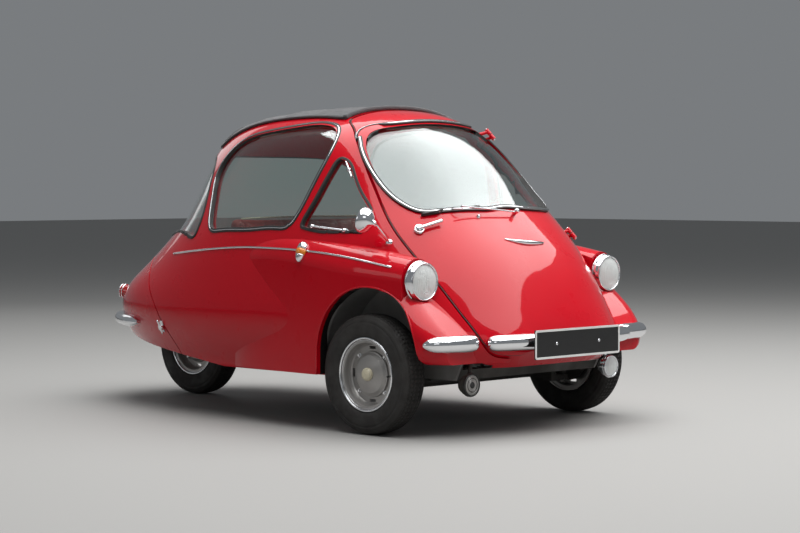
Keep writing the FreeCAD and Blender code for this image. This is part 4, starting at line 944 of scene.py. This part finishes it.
def side_mirror():
    """Round mirror on the right side: coned back, glass, and a straight arm to the skin."""
    rim = Vector((-0.6415, -0.716, 0.841))
    tip = Vector((-0.630, -0.766, 0.828))
    back = facing(rim, tip - rim)
    cone = spun([(0, -0.0015), (0.0465, -0.0015), (0.0480, -0.0035), (0.0500, -0.0025),
                 (0.0510, 0.0020), (0.0503, 0.0100), (0.0455, 0.0225), (0.0350, 0.0340),
                 (0.0215, 0.0440), (0.0125, 0.0500), (0.0090, 0.0550), (0, 0.0560)], 80)
    shell = piece_from("mirror_shell", put(cone, back), "chrome", "car_body")
    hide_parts("side_mirror")
    glass = spun([(0, -0.0040), (0.0300, -0.0037), (0.0462, -0.0028), (0.0465, -0.0010)], 64)
    piece_from("mirror_glass", put(glass, back), "mirror", "car_body")
    skin = skin_of("cabin_shell", "fender_right")
    foot, normal = seat_on(skin, (-0.545, -0.765, 0.752), RIGHT_FRONT)
    arm = rod_through([tip, tip.lerp(foot, 0.45), foot + normal * 0.004], 0.0072, 4,
                      shares=(1.15, 1.0, 0.75))
    ball = put(spun([(0, -0.011), (0.0085, -0.007), (0.0105, 0), (0.0085, 0.007), (0, 0.011)], 32),
               facing(tip, tip - foot))
    flange = put(spun([(0.0150, -0.004), (0.0145, 0.002), (0.0110, 0.0055), (0.0070, 0.0090),
                       (0, 0.0095)], 40), facing(foot, normal))
    piece_from("mirror_arm", joined([arm, ball, flange]), "chrome", "car_body")


def side_lamps():
    """An amber drop on each side, under a chrome hood and on a chrome toe."""
    skin = skin_of("cabin_shell", "fender_right")
    seat, normal = seat_on(skin, (-0.67, -0.400, 0.708), RIGHT)
    rise = (UP - normal * UP.dot(normal)).normalized()
    turn = Matrix((rise.cross(normal), normal, rise)).transposed().to_4x4()
    place = Matrix.Translation(seat) @ turn
    hood = spun([(0, 0.0425), (0.0100, 0.0417), (0.0175, 0.0370), (0.0215, 0.0285),
                 (0.0232, 0.0190), (0.0235, 0.0125), (0.0215, 0.0120), (0, 0.0115)], 56)
    amber = spun([(0, 0.0130), (0.0215, 0.0125), (0.0243, 0.0060), (0.0245, -0.0020),
                  (0.0225, -0.0105), (0.0205, -0.0135), (0, -0.0140)], 56)
    toe = spun([(0, -0.0130), (0.0212, -0.0132), (0.0205, -0.0175), (0.0160, -0.0290),
                (0.0095, -0.0385), (0.0040, -0.0425), (0, -0.0430)], 56)
    piece_from("side_lamp_hoods", with_twin(put(joined([hood, toe]), place)), "chrome",
               "car_body")
    lenses = piece_from("side_lamp_lenses", with_twin(put(amber, place)), "amber_lens", "car_body")
    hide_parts("side_indicators")


def tail_lamp_rings():
    lid = skin_of("tail_lid_panel")
    seat, _ = seat_on(lid, (0.384, 1.2, 0.490), BEHIND)
    way = Vector((0.32, 0.93, 0.14)).normalized()
    place = facing(seat, way)
    rings = joined([bead_ring(0.0303, 0.0155, 0.0022), bead_ring(0.0318, 0.0010, 0.0034)])
    piece_from("tail_lamp_rings", with_twin(put(rings, place)), "chrome", "tail_lid")
    shell, normal = seat_on(lid, (0.30, 1.2, 0.447), BEHIND)
    reflector = spun([(0.0160, 0), (0.0160, 0.0055), (0.0140, 0.0072), (0, 0.0076)], 40)
    rim = bead_ring(0.0165, 0.0042, 0.0017, 48, 8)
    piece_from("reflectors", with_twin(put(reflector, facing(shell, normal))), "red_lens",
               "tail_lid")
    piece_from("reflector_rims", with_twin(put(rim, facing(shell, normal))), "chrome",
               "tail_lid")


# Plates, bumpers, small fittings


def plate_dress(name, width, height, centre, across, out, body):
    """A raised silver border round a blank plate, and its two dome screws."""
    across = Vector(across).normalized()
    out = Vector(out).normalized()
    rise = out.cross(across)
    turn = Matrix((across, rise, out)).transposed().to_4x4()
    place = Matrix.Translation(centre) @ turn
    form = bmesh.new()
    bmesh.ops.create_grid(form, x_segments=1, y_segments=1, size=0.5)
    bmesh.ops.scale(form, vec=(width, height, 1), verts=form.verts)
    bmesh.ops.bevel(form, geom=form.verts[:], offset=0.011, segments=4, affect="VERTICES",
                    profile=0.5, material=-1)
    ring = bmesh.ops.inset_region(form, faces=form.faces[:], thickness=0.0085,
                                  use_even_offset=True, use_boundary=True)
    rim = set(ring["faces"])
    bmesh.ops.delete(form, geom=[face for face in form.faces if face not in rim],
                     context="FACES")
    bmesh.ops.translate(form, vec=(0, 0, 0.0014), verts=form.verts)
    border = piece_from(name + "_border", put(form, place), "plate_border", body,
                        smooth=False)
    wall_of(border, 0.0018)
    soften(border, 0.0005, 2)
    screws = [put(spun([(0.0062, 0), (0.0058, 0.0012), (0.004, 0.0024), (0, 0.0030)], 24),
                  place @ Matrix.Translation((side * width / 4, 0, 0.0))) for side in (-1, 1)]
    piece_from(name + "_screws", joined(screws), "chrome", body)


def plates():
    plate_dress("front_plate", 0.520, 0.114, (0, -1.2752, 0.358), LEFT, AHEAD, "front_door")
    lean = math.radians(14)
    out = Vector((0, math.cos(lean), math.sin(lean)))
    rise = Vector((0, -math.sin(lean), math.cos(lean)))
    middle = Vector((0, 1.2705, 0.412)) + rise * 0.0725 + out * 0.0042
    plate_dress("rear_plate", 0.300, 0.145, middle, RIGHT, out, "tail_lid")
    lid = skin_of("tail_lid_panel")
    seat, normal = seat_on(lid, (0, 1.25, 0.590), (0, 1, 0.4))
    cowl = soft_block((0.120, 0.030, 0.026), facing(seat + normal * 0.010, normal), 0.009, 4)
    piece_from("plate_lamp", cowl, "chrome", "tail_lid")


# Right half of the door's bumper: x, y and the share of its full thickness.
DOOR_BAR = ((-0.190, -1.236, 1.0), (-0.300, -1.211, 1.0), (-0.372, -1.191, 1.0),
            (-0.396, -1.1845, 0.95), (-0.411, -1.180, 0.82), (-0.4205, -1.177, 0.55),
            (-0.4235, -1.176, 0.20))


def door_bars():
    """The two plain bars on the door, which run in behind the plate."""
    run = [(x, y, 0.368) for x, y, _ in DOOR_BAR]
    bar = rod_through(run, 0.0325, 6, shares=[share for _, _, share in DOOR_BAR])
    bars = piece_from("door_bumper_bars", with_twin(bar), "chrome", "front_door")
    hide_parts("door_bumpers")


def nose_spear():
    """A plain bright spear on the nose, with no mark on it."""
    skin = skin_of("door_panel")
    spots = []
    for spot in ((-0.085, -0.960, 0.758), (-0.020, -0.974, 0.747), (0.060, -0.979, 0.740),
                 (0.130, -0.978, 0.738)):
        seat, _ = seat_on(skin, spot, (0, -0.75, 0.66), 0.002)
        spots.append(seat)
    spear = rod_through(spots, 0.0125, 5, shares=(0.15, 0.75, 1.0, 0.45))
    piece_from("nose_spear", spear, "chrome", "front_door")


def lid_catches():
    """An over-centre catch on each side of the tail lid, across its seam."""
    lid = skin_of("tail_lid_panel")
    seat, normal = seat_on(lid, (0.6, 0.530, 0.366), LEFT)
    tilt = facing(seat, normal)
    base = soft_block((0.020, 0.052, 0.004), tilt @ Matrix.Translation((0, 0, 0.002)), 0.0016)
    lever = rod_through([tilt @ Vector((0, -0.030, 0.007)), tilt @ Vector((0, -0.010, 0.013)),
                         tilt @ Vector((0, 0.016, 0.014)), tilt @ Vector((0, 0.033, 0.020))],
                        0.0046)
    cheeks = [soft_block((0.004, 0.020, 0.016),
                         tilt @ Matrix.Translation((side * 0.009, -0.004, 0.009)), 0.0015)
              for side in (-1, 1)]
    pin = put(spun([(0, -0.013), (0.003, -0.013), (0.003, 0.013), (0, 0.013)], 16),
              tilt @ facing((0, -0.004, 0.010), (1, 0, 0)))
    piece_from("lid_catches", with_twin(joined([base, lever, pin] + cheeks)), "chrome",
               "tail_lid")


def handle_dress():
    """Rings and a crown at the door handle's foot."""
    out = Vector((-0.5, -0.72, 0.48)).normalized()
    rings = [put(bead_ring(0.0178, height, 0.0018, 48, 8), facing(HANDLE_FOOT, out))
             for height in (0.004, 0.0125)]
    crown = put(spun([(0.0165, 0.015), (0.0150, 0.0185), (0.0100, 0.0215), (0, 0.0225)], 40),
                facing(HANDLE_FOOT, out))
    piece_from("handle_rings", joined(rings + [crown]), "chrome", "front_door")


def wiper_blade():
    """Rubber and its steel back on the glass, a bridge from the arm, and the pivot's cap."""
    glass = skin_of("windscreen_glass", "door_panel")
    slope = Vector((0, -0.75, 0.66))
    spots = []
    backs = []
    for step in range(11):
        share = step / 10
        spot = Vector((-0.394, -0.794, 0.853)).lerp(Vector((-0.104, -0.835, 0.883)), share)
        seat, normal = seat_on(glass, spot, RIGHT_FRONT)
        spots.append(seat + normal * 0.0062)
        backs.append(seat + normal * (0.0128 + 0.006 * math.sin(math.pi * share)))
    piece_from("wiper_rubber", joined([rod_through(spots, 0.0046), rod_through(backs, 0.0036)]),
               "rubber", "front_door")
    tip = Vector((-0.245, -0.862, 0.884))
    claws = [rod_through([backs[place], spots[place]], 0.0022, straight=True)
             for place in (1, 3, 5, 7, 9)]
    bridge = rod_through([tip + Vector((0.02, 0.0, -0.002)), tip, backs[5]], 0.0030)
    cap = put(spun([(0.0098, -0.004), (0.0098, 0.006), (0.0080, 0.0095), (0, 0.0110)], 32),
              facing(Vector((0.080, -0.866, 0.858)) + Vector((0.03, -0.8, 0.6)) * 0.020,
                     (0.03, -0.8, 0.6)))
    piece_from("wiper_blade", joined([bridge, cap] + claws),
               "chrome", "front_door")
    door = skin_of("door_panel")
    seat, normal = seat_on(door, (-0.142, -0.870, 0.847), slope)
    jet = put(spun([(0.0085, -0.002), (0.0085, 0.003), (0.006, 0.008), (0.0035, 0.0125),
                    (0, 0.0130)], 28), facing(seat, normal))
    piece_from("washer_jet", jet, "chrome", "front_door")


def quarter_catches():
    """The vent window's long stay on its lower edge and the catch at its front."""
    skin = skin_of("quarter_glass_left", "cabin_shell")
    stay = []
    for spot in ((0.600, -0.400, 0.806), (0.590, -0.480, 0.799), (0.577, -0.560, 0.791)):
        seat, _ = seat_on(skin, spot, LEFT, 0.0125)
        stay.append(seat)
    ends = [put(spun([(0, -0.012), (0.008, -0.012), (0.009, 0.004), (0.006, 0.010),
                      (0, 0.011)], 28), facing(stay[place], LEFT)) for place in (0, 2)]
    top = []
    for spot in ((0.467, -0.450, 1.063), (0.476, -0.478, 1.030), (0.484, -0.500, 1.000)):
        seat, _ = seat_on(skin, spot, (1, 0, 0.3), 0.014)
        top.append(seat)
    grip = put(spun([(0, -0.010), (0.0075, -0.010), (0.0085, 0.003), (0.006, 0.008),
                     (0, 0.009)], 28), facing(top[1], LEFT))
    piece_from("quarter_catches", with_twin(joined(
        [rod_through(stay, 0.0045), rod_through(top, 0.0042), grip] + ends)), "chrome",
        "car_body")


def hinge_pins():
    """Domed pin ends on the door's two hinges and the lid's two."""
    way = (DOOR_HINGES[0] - DOOR_HINGES[1]).normalized()
    domes = []
    for spot in DOOR_HINGES:
        for side, reach in ((1, 0.0272), (-1, 0.0280)):
            domes.append(put(spun([(0.0072, -0.001), (0.0066, 0.0020), (0.004, 0.0036),
                                   (0, 0.0041)], 24), facing(spot + way * side * reach,
                                                             way * side)))
    piece_from("door_hinge_pins", joined(domes), "chrome", "car_body")
    pins = [put(spun([(0.0045, -0.001), (0.0042, 0.0014), (0.0025, 0.0026), (0, 0.0030)], 20),
                facing((x, LID_HINGE_Y, LID_HINGE_HEIGHT), way_out))
            for x, way_out in ((0.104, LEFT), (0.048, RIGHT))]
    piece_from("lid_hinge_pins", with_twin(joined(pins)), "chrome", "tail_lid")


# Roof cloth


ROOF_MIDDLE = Vector((0, 0.100, 0))
ROOF_WIDTH = 0.650
ROOF_LENGTH = 0.780
ROOF_BOWS = (-0.10, 0.10, 0.30)


def sunroof():
    """Hood cloth stretched over three bows, with a rolled hem and a thick front fold."""
    skin = skin_of("sunroof")
    form = bmesh.new()
    bmesh.ops.create_grid(form, x_segments=60, y_segments=72, size=0.5)
    bmesh.ops.scale(form, vec=(ROOF_WIDTH, ROOF_LENGTH, 1), verts=form.verts)
    bmesh.ops.translate(form, vec=ROOF_MIDDLE, verts=form.verts)
    for vert in form.verts:
        seat, _ = seat_on(skin, (vert.co.x, vert.co.y, 1.2), UP)
        bow = max(math.exp(-((vert.co.y - place) / 0.016) ** 2) for place in ROOF_BOWS)
        inward = min(ROOF_WIDTH / 2 - abs(vert.co.x),
                     ROOF_LENGTH / 2 - abs(vert.co.y - ROOF_MIDDLE.y))
        firm = min(1.0, max(0.0, inward / 0.06))
        pucker = 0.0007 * math.sin(vert.co.x * 46) * math.sin(vert.co.y * 31 + 1.0)
        vert.co.z = seat.z - 0.002 + firm * (0.0042 * bow + pucker)
    form.normal_update()
    cloth = piece_from("sunroof_cloth", form, "roof_fabric", "car_body")
    wall_of(cloth, 0.0025)
    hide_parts("sunroof")
    rim = outline_of(cloth.data)
    hem = piece_from("sunroof_hem", rod_ring(rim, 0.0062), "roof_fabric", "car_body")
    front_edge = ROOF_MIDDLE.y - ROOF_LENGTH / 2
    front = [spot + Vector((0, 0.002, 0.0015)) for spot in rim if spot.y < front_edge + 0.0001]
    front.sort(key=lambda spot: spot.x)
    fold = piece_from("sunroof_front_fold", rod_through(front[::3] + front[-1:], 0.0105),
                      "roof_fabric", "car_body")
    seams = []
    for x in (-0.318, 0.318):
        line = [spot for spot in (vert.co for vert in cloth.data.vertices)
                if abs(spot.x - x) < 0.0056]
        line.sort(key=lambda spot: spot.y)
        seams.append(rod_through([spot + Vector((0, 0, 0.0012)) for spot in line[::4]], 0.0016))
    seam = piece_from("sunroof_seams", joined(seams), "roof_fabric", "car_body")


def outline_of(mesh):
    """The rim of an open sheet, in order."""
    form = bmesh.new()
    form.from_mesh(mesh)
    spots = [vert.co.copy() for vert in open_rims(form)[0]]
    form.free()
    return spots


def rod_ring(spots, radius):
    """A round bar that runs round a closed outline."""
    return rod_through(spots[::2] + spots[:1], radius, straight=True)


# Seat


def padded_form(name, low, high, soft, body, crown):
    """A cushion inflated by a cloth run from a block a little smaller than its place."""
    low = Vector(low)
    high = Vector(high)
    size = high - low
    form = soft_block(size, Matrix.Translation((low + high) / 2), soft, 4)
    pad = piece_from(name, form, "seat", body)
    remesh = pad.modifiers.new("even_mesh", "REMESH")
    remesh.mode = "VOXEL"
    remesh.voxel_size = 0.0085
    bake_modifiers(pad)
    rest = [vert.co.copy() for vert in pad.data.vertices]
    cloth = pad.modifiers.new("filling", "CLOTH")
    cloth.settings.use_pressure = True
    cloth.settings.uniform_pressure_force = 4
    cloth.settings.effector_weights.gravity = 0
    cloth.settings.quality = 4
    cloth.point_cache.frame_start = 1
    cloth.point_cache.frame_end = 20
    for moment in range(1, 21):
        bpy.context.scene.frame_set(moment)
    bake_modifiers(pad)
    bpy.context.scene.frame_set(1)
    for vert, start in zip(pad.data.vertices, rest):
        move = vert.co - start
        if move.length > crown:
            vert.co = start + move.normalized() * crown
    pad.data.shade_smooth()
    return pad


def bake_modifiers(piece):
    """Puts what the modifiers make into the piece's mesh."""
    bpy.context.view_layer.update()
    seen = piece.evaluated_get(bpy.context.evaluated_depsgraph_get())
    mesh = bpy.data.meshes.new_from_object(seen)
    mesh.name = piece.name
    old = piece.data
    piece.modifiers.clear()
    piece.data = mesh
    bpy.data.meshes.remove(old)


def sew_channels(pad, places, way, depth, width=0.010):
    """Presses sewn channels into the face of a pad that looks along way."""
    for vert in pad.data.vertices:
        face_share = max(0.0, vert.normal.dot(way))
        near = min(abs(vert.co.x - place) for place in places)
        press = depth * math.exp(-(near / width) ** 2) * min(1.0, face_share * 1.6)
        vert.co -= way * press
    pad.data.update()


def seat():
    """The bench's cushion and backrest: padded leathercloth with channels and piping."""
    cushion = padded_form("bench_cushion", (-0.488, -0.128, 0.342), (0.488, 0.278, 0.438), 0.030,
                          "car_body", 0.013)
    back = padded_form("bench_back", (-0.488, 0.195, 0.462), (0.488, 0.266, 0.838), 0.026,
                       "car_body", 0.013)
    places = [x * 0.108 for x in range(-4, 5)]
    sew_channels(cushion, places, UP, 0.0065)
    sew_channels(back, places, AHEAD, 0.0065)
    for pad, node in ((cushion, "seat_cushion"), (back, "seat_backrest")):
        finer = pad.modifiers.new("smooth_cover", "SUBSURF")
        finer.levels = 1
        finer.render_levels = 1
        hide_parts(node)
    rim = [(-0.472, -0.1335, 0.424), (-0.30, -0.1385, 0.430), (0, -0.1395, 0.431),
           (0.30, -0.1385, 0.430), (0.472, -0.1335, 0.424)]
    top = [(-0.470, 0.1905, 0.832), (-0.30, 0.1870, 0.838), (0, 0.1860, 0.839),
           (0.30, 0.1870, 0.838), (0.470, 0.1905, 0.832)]
    piece_from("bench_piping", joined([rod_through(rim, 0.0035), rod_through(top, 0.0035)]),
               "piping", "car_body")


# Inside the cabin


def controls():
    """Horn button, wheel grips, instrument pod, gear lever, pedal rubbers and floor mats."""
    button = put(spun([(0.030, 0.007), (0.029, 0.0105), (0.020, 0.0145), (0.008, 0.0160),
                       (0, 0.0162)], 48), facing(STEERING_HUB, STEERING_WAY))
    piece_from("horn_button", button, "chrome", "steering_ring")
    grips = []
    ring_radius = 0.190
    grip_count = 28
    for step in range(grip_count):
        turn = math.tau * step / grip_count
        spot = Vector((ring_radius * math.cos(turn), ring_radius * math.sin(turn), 0))
        grips.append(put(bead_ring(0.0112, 0, 0.0012, 24, 6),
                         facing(STEERING_HUB, STEERING_WAY)
                         @ facing(spot, (-math.sin(turn), math.cos(turn), 0))))
    piece_from("wheel_grips", joined(grips), "ivory", "steering_ring")
    pod_way = Vector((0, 0.80, 0.60))
    pod_spot = Vector((-0.240, -0.735, 0.655))
    pod = spun([(0, -0.060), (0.030, -0.056), (0.048, -0.040), (0.055, -0.012), (0.056, 0.004),
                (0.053, 0.006), (0.050, 0.0015)], 56)
    piece_from("instrument_pod", put(pod, facing(pod_spot, pod_way)), "underside", "car_body")
    dial = spun([(0.0505, 0.0015), (0.049, 0.0030), (0, 0.0032)], 56)
    piece_from("instrument_dial", put(dial, facing(pod_spot, pod_way)), "ivory", "car_body")
    ring = put(bead_ring(0.0530, 0.0055, 0.0026, 56, 8), facing(pod_spot, pod_way))
    clamp = rod_through([pod_spot + Vector((0, 0.0, -0.045)), (-0.240, -0.700, 0.560)], 0.011,
                        straight=True)
    piece_from("instrument_ring", joined([ring, clamp]), "chrome", "car_body")
    lever = rod_through([(0.455, -0.330, 0.233), (0.452, -0.352, 0.36), (0.440, -0.385, 0.500)],
                        0.0065)
    gaiter = put(spun([(0.036, 0), (0.030, 0.012), (0.031, 0.018), (0.022, 0.030),
                       (0.023, 0.036), (0.012, 0.050), (0.008, 0.060)], 36),
                 facing((0.455, -0.330, 0.2352), UP))
    knob = put(spun([(0.008, -0.018), (0.017, -0.008), (0.019, 0.002), (0.015, 0.013),
                     (0, 0.019)], 36), facing((0.438, -0.388, 0.512), (-0.1, -0.25, 1)))
    piece_from("gear_lever", lever, "chrome", "car_body")
    piece_from("gear_gaiter", gaiter, "rubber", "car_body")
    piece_from("gear_knob", knob, "ivory", "car_body")
    pads = []
    for pedal_x in (-0.330, -0.255, -0.180):
        for rib in range(5):
            pads.append(soft_block((0.042, 0.004, 0.006),
                                   Matrix.Translation((pedal_x, -0.9885, 0.308 + rib * 0.010)),
                                   0.0012, 2))
    piece_from("pedal_rubbers", joined(pads), "rubber", "car_body")
    mats = []
    for side in (-1, 1):
        middle_x = side * 0.205
        mats.append(soft_block((0.36, 0.62, 0.005),
                               Matrix.Translation((middle_x, -0.560, 0.2378)), 0.0018, 2))
        for rib in range(13):
            ridge = Matrix.Translation((middle_x - 0.156 + rib * 0.026, -0.560, 0.2412))
            mats.append(soft_block((0.012, 0.58, 0.003), ridge, 0.001, 1))
    piece_from("floor_mats", joined(mats), "rubber", "car_body")


# Underneath


def under_fittings():
    """Bolts on the axle's saddles and yokes, and the exhaust's tip and straps."""
    bolts = []
    for x in (-0.2425, -0.1925, 0.1925, 0.2425):
        for y in (-0.670, -0.610):
            bolts.append(bolt_head((x, y, 0.2148), (0, 0, -1), 0.007, 0.010))
    for side in (-1, 1):
        for height, way in ((0.3325, 1), (0.1425, -1)):
            bolts.append(bolt_head((side * KINGPIN_X, FRONT_AXLE_Y, height), (0, 0, way),
                                   0.011, 0.012))
    piece_from("chassis_bolts", joined(bolts), "engine", "car_body", smooth=False)
    tip = put(spun([(0.0135, 0.143), (0.0160, 0.143), (0.0172, 0.146), (0.0172, 0.151),
                    (0.0150, 0.1525), (0.0125, 0.150), (0.0120, 0.120), (0, 0.119)], 40),
              facing((0.165, 1.040, 0.250), BEHIND))
    piece_from("exhaust_tip", tip, "chrome", "car_body")
    straps = [put(spun([(0.0452, -0.010), (0.0468, -0.010), (0.0468, 0.010), (0.0452, 0.010)],
                       64, closed=True), facing((0.165, y, 0.262), BEHIND)) for y in (0.85, 0.99)]
    piece_from("exhaust_straps", joined(straps), "engine", "car_body")


place_camera()
studio_floor()
studio_light()
dress_nodes()
window_rubbers()
door_seal()
side_strips()
arch_lips()
wheel_trim()
headlamps()
fog_lamp_face()
horn_face()
side_mirror()
side_lamps()
tail_lamp_rings()
plates()
door_bars()
nose_spear()
lid_catches()
handle_dress()
wiper_blade()
quarter_catches()
hinge_pins()
sunroof()
seat()
controls()
under_fittings()
